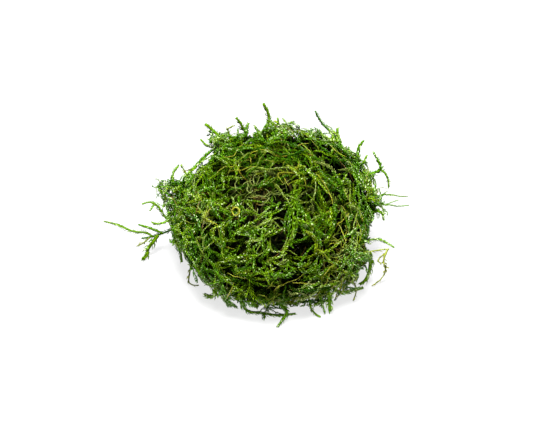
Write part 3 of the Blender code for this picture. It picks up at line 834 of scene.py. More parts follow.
def skins_on(
    shoots, share=SKIN_SHARE, spacing=SKIN_SPACING, sides=SKIN_SIDES,
    narrowing=SKIN_NARROWING, shine=SKIN_PAINTED_LIGHT,
):
    """Thin closed tubes along all these shoots, as points, triangles and places on the map."""
    number = np.maximum((shoots.steps * STEP / spacing).astype(int) + 1, FEWEST_RINGS)
    even_spacing = shoots.steps * STEP / (number - 1)
    shoot, index, along, point, heading = shoots.at(number, even_spacing)
    side, up = square_to(point, heading)
    turn = np.arange(sides) * 2 * math.pi / sides + math.pi / 2
    radius = share * shoots.girth[shoot] * (1 - narrowing * along ** 2)
    ring = side[:, None] * np.cos(turn)[None, :, None] + up[:, None] * np.sin(turn)[None, :, None]
    points = point[:, None] + ring * radius[:, None, None]
    # The skin's upper corners get the same painted top light.
    light = (shine * shoots.fresh[shoot] * painted_daylight(point))[:, None] * (1 + PAINTED_TOP_LIGHT * ring[:, :, 2])
    places = np.zeros((len(shoot), sides, 2))
    places[:, :, 0] = shoots.tone[shoot][:, None] + np.arange(sides)[None] * TONE_AROUND
    places[:, :, 1] = np.clip(light, DARKEST_SKIN, PAINTED_GLINT_FROM - SKIN_BELOW_PAINTED_GLINT) + along[:, None] * LIGHT_ALONG
    places = np.clip(places, SKIN_MAP_EDGE, 1 - SKIN_MAP_EDGE).reshape(-1, 2)
    corner = np.arange(len(shoot) * sides).reshape(-1, sides)
    body = np.flatnonzero(index < number[shoot] - 1)
    near = corner[body]
    far = corner[body + 1]
    faces = []
    for here in range(sides):
        there = (here + 1) % sides
        faces.append(np.stack([near[:, here], near[:, there], far[:, there]], 1))
        faces.append(np.stack([near[:, here], far[:, there], far[:, here]], 1))
    foot = corner[index == 0]
    tip = corner[index == number[shoot] - 1]
    for here in range(1, sides - 1):
        faces.append(foot[:, [0, here + 1, here]])
        faces.append(tip[:, [0, here, here + 1]])
    return points.reshape(-1, 3), np.concatenate(faces), places


cord = 2 * SKIN_SHARE * FULL_GIRTH
print("a full-grown shoot's cord is", round(cord, 2), "mm thick under its leaves")

# %% [markdown]
# The arrays of many shoots become one mesh, because an object for each of several thousand shoots would be
# slow to handle. The pieces are cut by region instead. Each rides on the clump's only body, hides the solid
# that it stands for, and carries the two numbers of every corner as its map.

# %% Pieces from shoots
GROUND = 0.05
made_pieces = []


def joined(shapes):
    """Several sets of points, triangles and map places as one."""
    all_points, all_faces, all_places = zip(*shapes)
    firsts = np.cumsum([0] + [len(points) for points in all_points])
    faces = [triangles + first for triangles, first in zip(all_faces, firsts)]
    return np.concatenate(all_points), np.concatenate(faces), np.concatenate(all_places)


def make_piece(name, shapes, slot, *nodes, finish=moss):
    """One mesh object of these shapes, standing for these solids and lying on the ground where it is low."""
    points, faces, places = joined(shapes)
    points[:, 2] = np.maximum(points[:, 2], GROUND)
    mesh = bpy.data.meshes.new(name)
    mesh.vertices.add(len(points))
    mesh.vertices.foreach_set("co", (points * MM).astype(np.float32).ravel())
    mesh.loops.add(len(faces) * 3)
    mesh.loops.foreach_set("vertex_index", faces.astype(np.int32).ravel())
    mesh.polygons.add(len(faces))
    mesh.polygons.foreach_set("loop_start", np.arange(0, len(faces) * 3, 3, dtype=np.int32))
    leaf_map = mesh.uv_layers.new(name="OFBake")
    leaf_map.uv.foreach_set("vector", places[faces.ravel()].astype(np.float32).ravel())
    mesh.update(calc_edges=True)
    mesh.materials.append(finish)
    piece = bpy.data.objects.new(name, mesh)
    bpy.context.scene.collection.objects.link(piece)
    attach(piece, "root")
    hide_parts(*nodes)
    made_pieces.append(piece)
    return piece


print("no piece comes nearer to the ground than", GROUND, "mm")

# %% [markdown]
# Shoots grow by walking. Each step keeps most of the last heading, turns a little, and steers towards the
# depth that the shoot should have there. So shoots wind over the clump, dive under each other and come up
# again, as they do when moss is pulled from a wall and rolled in the hand.

# %% Growth
LOWEST = 0.7
NEAR_GROUND = 1.0
GRIP = 0.3
CLIMB_DISTANCE = 3.5
STEEPEST = 0.85
STEP_SCATTER = 0.09


def grow(starts, headings, steps, depth_first, depth_last, wander, curl, swell=0.0):
    """Walks all these shoots at once, from their first depth to their last, and returns their places."""
    count = len(starts)
    places = np.zeros((int(steps.max()) + 1, count, 3))
    places[0] = starts
    here = starts.copy()
    heading = headings.copy()
    for step in range(1, len(places)):
        outward = unit(here - MIDDLE)
        along = np.clip(step / steps, 0, 1)
        wanted = depth_first + (depth_last - depth_first) * along - swell * np.sin(math.pi * along)
        climb = np.clip((depth_of(here) - wanted) / CLIMB_DISTANCE, -STEEPEST, STEEPEST)[:, None]
        level = unit(heading - outward * (heading * outward).sum(1, keepdims=True))
        level = turned(level, outward, curl + chance.normal(0, 1, count) * wander)
        aim = level * np.sqrt(1 - climb ** 2) + outward * climb
        heading = unit(heading * (1 - GRIP) + aim * GRIP + chance.normal(0, STEP_SCATTER, (count, 3)))
        low = here[:, 2] < LOWEST + NEAR_GROUND
        heading[low, 2] = np.maximum(heading[low, 2], 0)
        here = here + unit(heading) * STEP
        here[:, 2] = np.maximum(here[:, 2], LOWEST)
        places[step] = here
    return places


print("shoots keep", LOWEST, "mm clear of the ground")

# %% [markdown]
# Two small helpers finish what grows. A route that was drawn or that hardly turned looks too smooth,
# so it is made to waver. And few shoots cross a dark gap, or it would be filled: where the middle or the tip
# of a shoot lies in one, near the surface, most such shoots are left out.

# %% Waver, and keeping out of the gaps
WAVER = 0.09
WAVER_BLEND = 0.7
SHALLOW = 3.0
IN_A_GAP = 0.45
GAP_CROSSERS = 0.12


def unsteady(places):
    """The same routes, wavering a little from step to step."""
    shift = chance.normal(0, WAVER, places.shape)
    shift[1:] = (shift[1:] + shift[:-1]) * WAVER_BLEND
    shift[0] = 0
    return places + shift


def out_of_gaps(shoots, crossers=GAP_CROSSERS):
    """The shoots without most of those whose middle or tip lies in a dark gap."""
    number = np.arange(len(shoots))
    halfway = shoots.places[shoots.steps // 2, number]
    tips = shoots.places[shoots.steps, number]
    crossing = np.maximum(gap_share(halfway), gap_share(tips)) >= IN_A_GAP
    shallow = np.minimum(depth_of(halfway), depth_of(tips)) < SHALLOW
    kept = ~shallow | ~crossing | (chance.random(len(shoots)) < crossers)
    return shoots.only(np.flatnonzero(kept))


print("of the shoots that would cross a gap,", round(GAP_CROSSERS * 100), "in a hundred stay")

# %% [markdown]
# The main shoots start all over the clump, at various depths. Neighbours start out in much the same
# direction, because they grew side by side, so each patch of the clump has a drift of its own. Most of them
# rise to the surface, and the others stay or dive below it.

# %% The routes of the main shoots
MAIN_COUNT = 1180
MAIN_SCATTER = 0.04
MAIN_DEPTHS = (0.3, 6.5)
MAIN_HEIGHTS = (0, 2.5)
MAIN_STEPS = (10, 27)
PATCH_COUNT = 70
PATCH_SCATTER = 0.08
DRIFT_SCATTER = 0.5
RISEN_SHARE = 0.62
RISEN_DEPTHS = (-2.6, 0.3)
SUNK_DEPTHS = (0.5, 5)
MAIN_WANDER = 0.16
MAIN_CURL = 0.06
SWELLS = (0, 2)

directions = unit(even_directions(MAIN_COUNT) + chance.normal(0, MAIN_SCATTER, (MAIN_COUNT, 3)))
depth_first = chance.uniform(*MAIN_DEPTHS, MAIN_COUNT)
starts = below_surface(directions, depth_first)
starts[:, 2] = np.maximum(starts[:, 2], LOWEST + chance.uniform(*MAIN_HEIGHTS, MAIN_COUNT))
patches = unit(even_directions(PATCH_COUNT) + chance.normal(0, PATCH_SCATTER, (PATCH_COUNT, 3)))
drifts = unit(np.cross(patches, chance.normal(0, 1, (PATCH_COUNT, 3))))
nearest = (directions @ patches.T).argmax(1)
headings = unit(drifts[nearest] + chance.normal(0, DRIFT_SCATTER, (MAIN_COUNT, 3)))
steps = chance.integers(*MAIN_STEPS, MAIN_COUNT)
depth_last = either(RISEN_SHARE, RISEN_DEPTHS, SUNK_DEPTHS, MAIN_COUNT)
curl = chance.normal(0, MAIN_CURL, MAIN_COUNT)
swell = chance.uniform(*SWELLS, MAIN_COUNT)
places = grow(starts, headings, steps, depth_first, depth_last, MAIN_WANDER, curl, swell)
print(MAIN_COUNT, "routes in", PATCH_COUNT, "patches")

# %% [markdown]
# Two thirds of the main shoots are thick, and the others thin. Most are a mid green, each patch in its own
# shade, and one in twenty is pale. On the right the clump has an older, warmer side, where all of them are
# yellower. On the underside only one shoot in three is kept, because it lies on the ground.

# %% The looks of the main shoots
THICK_SHARE = 0.66
THICK_GIRTHS = (0.44, FULL_GIRTH)
THIN_GIRTHS = (0.28, 0.38)
MAIN_TONE = 0.155
PATCH_TONE_SCATTER = 0.07
MAIN_TONE_SCATTER = 0.14
GREEN_TONES = (0.07, 0.5)
PALE_SHOOTS = 0.05
PALE_TONES = (0.56, 0.68)
MAIN_FRESHNESS = (0.58, 0.26)
LEAST_FRESH = 0.15
WARM_SIDE = np.array([25.0, -18.0, 16.0])
WARM_SPREAD = 15.0
WARMER = 0.2
UNDERNEATH = -0.6
KEPT_UNDERNEATH = 3


def warmth(points):
    """How near these places are to the clump's older side, where the moss is yellower."""
    return np.exp(-(np.linalg.norm(points - WARM_SIDE, axis=1) / WARM_SPREAD) ** 2)


girth = either(THICK_SHARE, THICK_GIRTHS, THIN_GIRTHS, MAIN_COUNT)
patch_tone = chance.normal(0, PATCH_TONE_SCATTER, PATCH_COUNT)
tone = MAIN_TONE + patch_tone[nearest] + chance.normal(0, MAIN_TONE_SCATTER, MAIN_COUNT)
is_pale = chance.random(MAIN_COUNT) < PALE_SHOOTS
tone = np.where(is_pale, chance.uniform(*PALE_TONES, MAIN_COUNT), np.clip(tone, *GREEN_TONES))
tone = np.clip(tone + WARMER * warmth(starts), LOWEST_TONE, LEAFY_TONE_END)
fresh = np.clip(chance.normal(*MAIN_FRESHNESS, MAIN_COUNT), LEAST_FRESH, 1.0)
main_shoots = Shoots(places, steps, girth, tone, fresh)
on_the_ground = directions[:, 2] < UNDERNEATH
kept = ~on_the_ground | (np.arange(MAIN_COUNT) % KEPT_UNDERNEATH == 0)
main_shoots = cut_at_edge(out_of_gaps(main_shoots.only(np.flatnonzero(kept))))
print(len(main_shoots), "main shoots")

# %% [markdown]
# Every main shoot branches, to the left and right in turn. The branches are shorter and thinner, and many
# rise free of the clump, which gives it its rough, bushy outline.

# %% Side branches
BRANCHES = 2
FIRST_BRANCH = 0.6
BRANCHED_LENGTH = 0.9
BRANCH_SCATTER = 0.12
BRANCH_ANGLES = (0.5, 1.15)
BRANCH_RISE = (-0.2, 0.7)
BRANCH_CLIMB = (-1.5, 4.0)
HIGHEST_BRANCH = -2.6
WILD_SHARE = 0.3
WILD_RISE = 0.7
WILD_END = -4.5
BRANCH_STEPS = (4, 12)
BRANCH_WANDER = 0.12
BRANCH_CURL = 0.08
BRANCH_GIRTHS = (0.65, 0.95)
BRANCH_TONE = (0.02, 0.03)


def branches_of(parents, each, wild_share):
    """Side shoots that leave each parent at even distances. Wild ones rise free of the clump."""
    count = len(parents) * each
    parent = np.repeat(np.arange(len(parents)), each)
    far = np.tile((np.arange(each) + FIRST_BRANCH) / each, len(parents)) * BRANCHED_LENGTH
    far = far + chance.uniform(-BRANCH_SCATTER, BRANCH_SCATTER, count)
    node = np.clip((far * parents.steps[parent]).astype(int), 1, parents.steps[parent] - 2)
    start = parents.places[node, parent]
    ahead = unit(parents.places[node + 1, parent] - start)
    outward = unit(start - MIDDLE)
    side = np.where(np.arange(count) % 2, 1, -1) * chance.uniform(*BRANCH_ANGLES, count)
    heading = unit(turned(ahead, outward, side) + outward * chance.uniform(*BRANCH_RISE, count)[:, None])
    wild = chance.random(count) < wild_share
    heading = np.where(wild[:, None], unit(heading + outward * WILD_RISE), heading)
    first = depth_of(start)
    last = np.maximum(first - chance.uniform(*BRANCH_CLIMB, count), HIGHEST_BRANCH)
    last = np.where(wild, WILD_END, last)
    steps = chance.integers(*BRANCH_STEPS, count)
    curl = chance.normal(0, BRANCH_CURL, count)
    places = grow(start, heading, steps, first, last, BRANCH_WANDER, curl)
    girth = parents.girth[parent] * chance.uniform(*BRANCH_GIRTHS, count)
    tone = parents.tone[parent] + chance.normal(*BRANCH_TONE, count)
    return Shoots(places, steps, girth, np.clip(tone, LOWEST_TONE, LEAFY_TONE_END), parents.fresh[parent])


branches = cut_at_edge(out_of_gaps(branches_of(main_shoots, BRANCHES, WILD_SHARE)))
print(len(branches), "side branches")

# %% [markdown]
# Here and there a tuft of short shoots fans out of the clump. The two side lobes and the ragged crown are
# such tufts. Each has a root place, a direction, how wide it fans, how many shoots it has and how many steps
# the longest of them has.

# %% Tufts
TUFTS = {
    "left lobe": ((-31, 9, 31), (-1, 0, 0.25), 0.5, 84, 14),
    "left lobe, low": ((-32, 6, 24), (-1, -0.1, 0), 0.45, 56, 11),
    "left flank": ((-31, -2, 18), (-0.9, -0.2, -0.2), 0.5, 56, 11),
    "left foot": ((-26, -12, 9), (-0.7, -0.5, -0.3), 0.5, 30, 9),
    "left shoulder": ((-27, 16, 35), (-0.6, 0.1, 0.7), 0.4, 14, 9),
    "right lobe": ((30, 5, 27), (1, 0, 0.15), 0.5, 64, 13),
    "right lobe, low": ((30, 0, 20), (1, -0.1, -0.2), 0.4, 18, 8),
    "right flank": ((29, -8, 14), (0.9, -0.1, -0.1), 0.5, 36, 10),
    "right foot": ((25, -11, 7), (0.9, -0.2, -0.2), 0.5, 34, 10),
    "right shoulder": ((26, 16, 37), (0.7, 0.2, 0.6), 0.4, 36, 9),
    "right upper edge": ((31, 12, 33), (0.9, 0.1, 0.4), 0.4, 30, 8),
    "crown left": ((-20, 23, 38), (-0.4, 0.2, 0.9), 0.45, 26, 10),
    "crown middle": ((2, 25, 43), (0, 0.2, 1), 0.5, 30, 9),
    "crown right": ((22, 22, 39), (0.3, 0.2, 1), 0.45, 30, 9),
    "front left foot": ((-18, -20, 8), (-0.2, -0.7, -0.6), 0.4, 26, 10),
    "front foot": ((-5, -21, 7), (0, -0.8, -0.5), 0.4, 24, 10),
    "front middle foot": ((6, -21, 6), (0, -0.9, -0.4), 0.4, 24, 9),
    "front right foot": ((18, -20, 6), (0.2, -0.8, -0.4), 0.4, 26, 9),
    "back": ((8, 31, 26), (0.1, 1, 0.3), 0.5, 22, 9),
    "back left": ((-22, 24, 22), (-0.6, 0.8, 0.1), 0.5, 18, 9),
    "back right": ((24, 22, 20), (0.7, 0.7, 0.1), 0.5, 18, 9),
}
TUFT_SPREAD = 3.0
SHORTEST_IN_TUFT = 4
TUFT_FREEDOM = (0.3, 1.0)
TUFT_WANDER = 0.12
TUFT_CURL = 0.06
TUFT_TONE = (0.24, 0.11)
TUFT_GIRTHS = (0.42, 0.66)
TUFT_FRESHNESS = (0.5, 0.95)


def tuft(root, direction, fan, count, steps):
    """Short shoots that fan out from a place."""
    headings = unit(unit(np.array(direction, dtype=float)) + chance.normal(0, fan, (count, 3)))
    starts = np.array(root, dtype=float) + chance.normal(0, TUFT_SPREAD, (count, 3))
    starts[:, 2] = np.maximum(starts[:, 2], LOWEST)
    lengths = chance.integers(max(SHORTEST_IN_TUFT, steps // 2), steps + 1, count)
    depths = depth_of(starts)
    free = depths - lengths * STEP * chance.uniform(*TUFT_FREEDOM, count)
    curl = chance.normal(0, TUFT_CURL, count)
    places = grow(starts, headings, lengths, depths, free, TUFT_WANDER, curl)
    tone = np.clip(chance.normal(*TUFT_TONE, count), *GREEN_TONES)
    girth = chance.uniform(*TUFT_GIRTHS, count)
    fresh = chance.uniform(*TUFT_FRESHNESS, count)
    return cut_at_edge(Shoots(places, lengths, girth, tone, fresh))


tufts = {name: tuft(*facts) for name, facts in TUFTS.items()}
print(len(tufts), "tufts with", sum(len(shoots) for shoots in tufts.values()), "shoots")

# %% [markdown]
# Bare stems run among the leafy shoots. They are older growth that has lost its leaves: most are olive to
# yellow, and a quarter are brown. More than a quarter of them lie on the clump's warm side.

# %% Bare stems
BARE_COUNT = 360
WARM_COUNT = 100
WARM_SCATTER = 0.35
BARE_DEPTHS = (0.5, 3.5)
BARE_HEIGHT = 0.5
BARE_STEPS = (6, 20)
BARE_ENDS = (-2.4, 1.5)
BARE_WANDER = 0.3
BARE_CURL = 0.12
BROWN_SHARE = 0.25
BROWN_TONES = (0.94, 0.99)
OLIVE_TONES = (0.81, 0.9)
BARE_GIRTHS = (0.1, 0.18)
BARE_FRESHNESS = 0.95

directions = unit(chance.normal(0, 1, (BARE_COUNT, 3)))
scatter = chance.normal(0, WARM_SCATTER, (WARM_COUNT, 3))
directions[:WARM_COUNT] = unit(unit(WARM_SIDE - MIDDLE) + scatter)
depth_first = chance.uniform(*BARE_DEPTHS, BARE_COUNT)
starts = below_surface(directions, depth_first)
starts[:, 2] = np.maximum(starts[:, 2], LOWEST + BARE_HEIGHT)
headings = unit(np.cross(directions, chance.normal(0, 1, (BARE_COUNT, 3))))
steps = chance.integers(*BARE_STEPS, BARE_COUNT)
depth_last = chance.uniform(*BARE_ENDS, BARE_COUNT)
curl = chance.normal(0, BARE_CURL, BARE_COUNT)
swell = chance.uniform(*SWELLS, BARE_COUNT)
places = grow(starts, headings, steps, depth_first, depth_last, BARE_WANDER, curl, swell)
tone = either(BROWN_SHARE, BROWN_TONES, OLIVE_TONES, BARE_COUNT)
girth = chance.uniform(*BARE_GIRTHS, BARE_COUNT)
bare_stems = cut_at_edge(Shoots(unsteady(places), steps, girth, tone, BARE_FRESHNESS))
print(len(bare_stems), "bare stems")

# %% [markdown]
# Growth by chance makes moss, but not this clump. The shoots that catch the eye in the picture are laid one
# by one instead, through a few places each. A few are enough, because a smooth curve is drawn through them.

# %% From points to a smooth route
CURVE_POINTS = 12


def smooth_route(points):
    """A smooth curve through these points, with a place about every step."""
    ends = np.concatenate([[2 * points[0] - points[1]], points, [2 * points[-1] - points[-2]]])
    t = np.linspace(0, 1, CURVE_POINTS, endpoint=False)[:, None]
    curve = []
    for before, start, end, after in zip(ends, ends[1:], ends[2:], ends[3:]):
        bend = (2 * before - 5 * start + 4 * end - after) * t ** 2
        twist = (3 * start - before - 3 * end + after) * t ** 3
        curve.append((2 * start + (end - before) * t + bend + twist) / 2)
    curve = np.concatenate([*curve, points[-1:]])
    length = np.concatenate([[0], np.cumsum(np.linalg.norm(np.diff(curve, axis=0), axis=1))])
    far = np.linspace(0, length[-1], max(2, round(length[-1] / STEP)) + 1)
    return np.stack([np.interp(far, length, curve[:, axis]) for axis in range(3)], 1)


def bundled(routes, girth, tone, fresh):
    """Routes of different lengths as one bundle. The short ones stay at their tips."""
    steps = np.array([len(route) - 1 for route in routes])
    places = np.zeros((steps.max() + 1, len(routes), 3))
    for number, route in enumerate(routes):
        places[: len(route), number] = route
        places[len(route):, number] = route[-1]
    return Shoots(places, steps, np.array(girth), np.array(tone), np.array(fresh))


print("a curve has", CURVE_POINTS, "points between two that are given")

# %% [markdown]
# Every laid shoot has one of these looks: how thick it is in millimetres, its tone and how fresh it is. Bare
# stems have the upper tones or are very thin, so a look also says whether a shoot has leaves.

# %% The looks of laid shoots
LOOKS = {
    "leafy": (0.52, 0.20, 0.78),
    "bright": (0.54, 0.34, 0.9),
    "dark": (0.56, 0.06, 0.5),
    "broad": (0.82, 0.20, 0.78),
    "slender": (0.36, 0.24, 0.75),
    "pale": (0.32, 0.6, 1.0),
    "yellow": (0.12, 0.895, 0.85),
    "olive": (0.12, 0.85, 0.7),
    "brown": (0.15, 0.955, 1.0),
    "straw": (0.42, 0.755, 0.62),
    "ring": (0.24, 0.905, 1.0),
    "star": (0.36, 0.852, 0.95),
    "fibre": (0.1, 0.74, 0.8),
}
print(len(LOOKS), "looks")

# %% [markdown]
# Each row of the next five lists is one shoot: its look and the places in the picture that it passes, in
# pixels, from its root to its tip.
# On the left they are the side lobe's loose shoots, which arch over its small openings, and further in a
# star of pale and yellow stems.

# %% Shoots laid on the left
LAID_LEFT = [
    ("leafy", (184, 179), (189, 173.5), (196, 167), (203, 161), (210, 156.5), (216, 153)),
    ("slender", (212, 180), (208, 175), (204, 171.5), (199, 169.5)),
    ("bright", (213, 172), (207, 169), (201, 166.5)),
    ("leafy", (216, 166), (212, 162), (208, 160)),
    ("slender", (207, 180), (200, 177), (196, 174.5)),
    ("dark", (190, 178), (182, 182.5), (176, 183), (170, 182)),
    ("leafy", (186, 190), (188, 184), (191, 178), (193, 172)),
    ("leafy", (193, 186), (193, 179), (190.5, 173)),
    ("leafy", (174, 186), (173, 178), (174, 172), (177, 167), (178.5, 165)),
    ("leafy", (183, 183), (184, 178), (184, 174.5)),
    ("bright", (188, 177), (184, 171), (181, 164)),
    ("leafy", (216, 196), (213, 203), (214, 211), (219, 217)),
    ("bright", (206, 200), (212, 204), (219, 205), (226, 203)),
    ("leafy", (212, 189), (218, 192), (224, 196), (229, 201)),
    ("leafy", (209, 213), (215, 210), (222, 211), (228, 215)),
    ("bright", (226, 222), (222, 226), (216, 227), (210, 231)),
    ("leafy", (190, 262), (193, 270), (196, 277), (197, 283)),
    ("dark", (172, 199), (164, 200), (162, 195), (161, 189), (163, 183)),
    ("olive", (170, 190), (165, 193), (164, 187), (167, 183)),
    ("bright", (182, 195), (176, 190), (172, 188), (166, 188)),
    ("leafy", (180, 199), (172, 203), (166, 205), (160, 205), (157, 202)),
    ("slender", (170, 192), (164, 192), (159, 193), (156, 199)),
    ("slender", (168, 186), (162, 187), (156, 188), (152, 185)),
    ("slender", (166, 184), (161, 183), (158, 179), (155, 179)),
    ("leafy", (168, 200), (176, 206), (182, 209), (187, 213)),
    ("bright", (183, 190), (190, 193), (196, 197), (202, 199)),
    ("leafy", (182, 213), (184, 206), (187, 200), (190, 193)),
    ("leafy", (196, 212), (190, 209), (184, 208), (177, 207)),
    ("leafy", (176, 215), (171, 213), (168, 212)),
    ("leafy", (175, 222), (169, 219), (170, 211)),
    ("olive", (180, 219.5), (185, 221), (190, 223), (196, 222.5)),
    ("olive", (181, 226), (185, 228.5), (190, 228)),
    ("leafy", (172, 222), (175, 231), (179, 240), (184, 249)),
    ("leafy", (181, 243), (186, 251), (192, 259), (196, 268)),
    ("bright", (175, 224), (180, 231), (186, 239), (191, 246)),
    ("leafy", (186, 234), (192, 240), (195, 247), (196, 254)),
    ("bright", (190, 236), (187, 243), (185, 248)),
    ("slender", (176, 238), (174, 242), (172.5, 246)),
    ("pale", (195, 239), (200, 238), (204, 238), (207, 234)),
    ("slender", (202, 240), (205, 245), (208, 249), (209, 255), (206, 261), (208, 265)),
    ("pale", (198, 253.5), (205, 249), (210, 244), (213, 242)),
    ("bright", (208, 232), (213, 236), (216, 240), (219, 244)),
    ("pale", (203, 224), (203, 217), (205, 210)),
    ("yellow", (203, 223), (206, 215), (209, 210), (213, 207), (218, 203)),
    ("yellow", (203, 216), (207, 220), (213, 222), (219, 227)),
    ("star", (203, 224), (204, 218), (206, 212)),
    ("star", (203, 214), (207, 219), (213, 222)),
    ("star", (202, 222), (207, 221.5), (214, 223)),
    ("olive", (214, 229), (217, 227), (219, 231), (220, 239)),
    ("leafy", (196, 196), (203, 191), (208, 188), (214, 187)),
    ("brown", (161, 184), (165, 187), (168, 191)),
    ("brown", (170, 196), (174, 200), (177, 205)),
    ("brown", (183, 172), (188, 170), (193, 169)),
    ("yellow", (166, 190), (169, 187), (173, 186)),
    ("leafy", (169, 186), (165, 181), (162, 182), (160, 187)),
    ("leafy", (173, 190), (167, 188), (163, 186), (159, 188)),
    ("leafy", (173, 196), (168, 195), (165, 191), (164, 186)),
    ("bright", (176, 203), (171, 199), (166, 198), (163, 195)),
    ("leafy", (178, 196), (174, 192), (170, 187), (168, 181)),
    ("slender", (200, 200), (202, 205), (199, 211)),
    ("bright", (223, 170), (223, 177), (224, 184), (222, 191)),
    ("leafy", (226, 200), (220, 204), (222, 209), (228, 211)),
]
print(len(LAID_LEFT), "rows for the left")

# %% [markdown]
# On the crown they are the tips that make its ragged edge, the dark shoots under them, and the long yellow
# stems that run along the top.

# %% Shoots laid on the crown
LAID_CROWN = [
    ("bright", (226, 143), (219, 139), (211, 139.5)),
    ("leafy", (237, 147), (229, 145), (221, 144), (214, 141), (208, 139)),
    ("leafy", (240, 139), (231, 137), (223, 137.5), (217, 141)),
    ("slender", (221, 138), (226, 132.5), (231, 131)),
    ("slender", (239, 142), (238, 135), (238, 128)),
    ("leafy", (248, 141), (246.5, 134), (246, 129), (246.5, 125)),
    ("leafy", (253, 143), (254, 137), (256, 133.5)),
    ("leafy", (262, 136), (264, 128), (268, 124.5), (270, 128), (268, 132)),
    ("leafy", (268, 147), (263, 140), (258, 133), (255, 127)),
    ("leafy", (272, 134), (273, 128), (271, 122), (268, 118)),
    ("olive", (280, 132), (276, 126), (272, 122)),
    ("slender", (289, 129), (286, 123), (282, 118)),
    ("leafy", (292, 131), (290, 125), (294, 121)),
    ("leafy", (300, 131), (297, 126), (293, 124)),
    ("leafy", (262, 150), (270, 142), (277, 135), (283, 131)),
    ("bright", (268, 145), (275, 138), (284, 134), (291, 131)),
    ("leafy", (284, 148), (285, 139), (286, 131), (285, 125)),
    ("olive", (284, 150), (285, 145), (284, 139)),
    ("olive", (281, 150), (282, 143), (280, 137)),
    ("olive", (279, 128), (285, 126), (290, 129), (294, 134)),
    ("brown", (286, 140), (290, 137), (295, 137)),
    ("brown", (276, 129), (281, 132), (287, 133)),
    ("leafy", (300, 143), (296, 137), (290, 134)),
    ("olive", (296, 129), (303, 133), (310, 139), (317, 147)),
    ("leafy", (301, 141), (309, 139), (317, 141), (325, 145)),
    ("slender", (318, 139), (318, 131), (314, 127)),
    ("slender", (322, 141), (322, 136), (321, 131)),
    ("leafy", (309, 147), (311, 139), (312, 132), (311, 128)),
    ("slender", (320, 136), (325, 133.5), (331, 134)),
    ("bright", (335, 150), (333, 141), (332, 134), (328, 128)),
    ("leafy", (345, 151), (341, 144), (337, 136), (331, 128), (325, 125)),
    ("bright", (340, 150), (338, 141), (337.5, 133), (339, 127)),
    ("leafy", (334, 143), (342, 149), (350, 155), (358, 159)),
    ("leafy", (346, 158), (350, 152), (348, 147)),
    ("yellow", (326, 143), (333, 148), (339, 153), (346, 157)),
    ("leafy", (352, 158), (360, 160), (366, 164)),
    ("dark", (306, 150), (299, 153), (290, 155), (281, 154), (273, 152)),
    ("leafy", (312, 152), (320, 152), (328, 155), (337, 157)),
    ("dark", (300, 163), (307, 159), (315, 158), (322, 161)),
    ("pale", (275, 158), (273, 153), (268, 151), (261, 152.5)),
    ("leafy", (256, 151), (249, 149), (243, 150), (236, 152)),
    ("leafy", (214, 152), (222, 149), (231, 149), (239, 150)),
    ("leafy", (210, 156), (218, 158), (226, 163), (232, 170)),
    ("yellow", (219, 159.5), (226, 157), (233, 156), (236, 152), (239, 147), (243, 144)),
    ("pale", (232, 166), (239, 161), (245, 155), (251, 152)),
    ("yellow", (229, 171.5), (236, 170.5), (243, 169.5), (249, 167.5), (256, 166.5)),
    ("yellow", (252, 168), (251, 162), (250, 156), (254, 151), (261, 149.5), (268, 149.5)),
    ("olive", (226, 179), (229, 172), (233, 166), (240, 163), (247, 159.5)),
    ("pale", (255, 166.5), (261, 169), (268, 169), (275, 169), (283, 167.5), (291, 168)),
    ("olive", (260, 166), (263, 161), (268, 160), (274, 163)),
    ("leafy", (302, 176), (308, 172), (312, 168), (318, 166)),
]
print(len(LAID_CROWN), "rows for the crown")

# %% [markdown]
# In the middle a small yellow ring and a bent yellow stem catch the eye first, then the thick shoots that
# hang down beside the wide dark hollow, and the long bright one that climbs across below the ring.

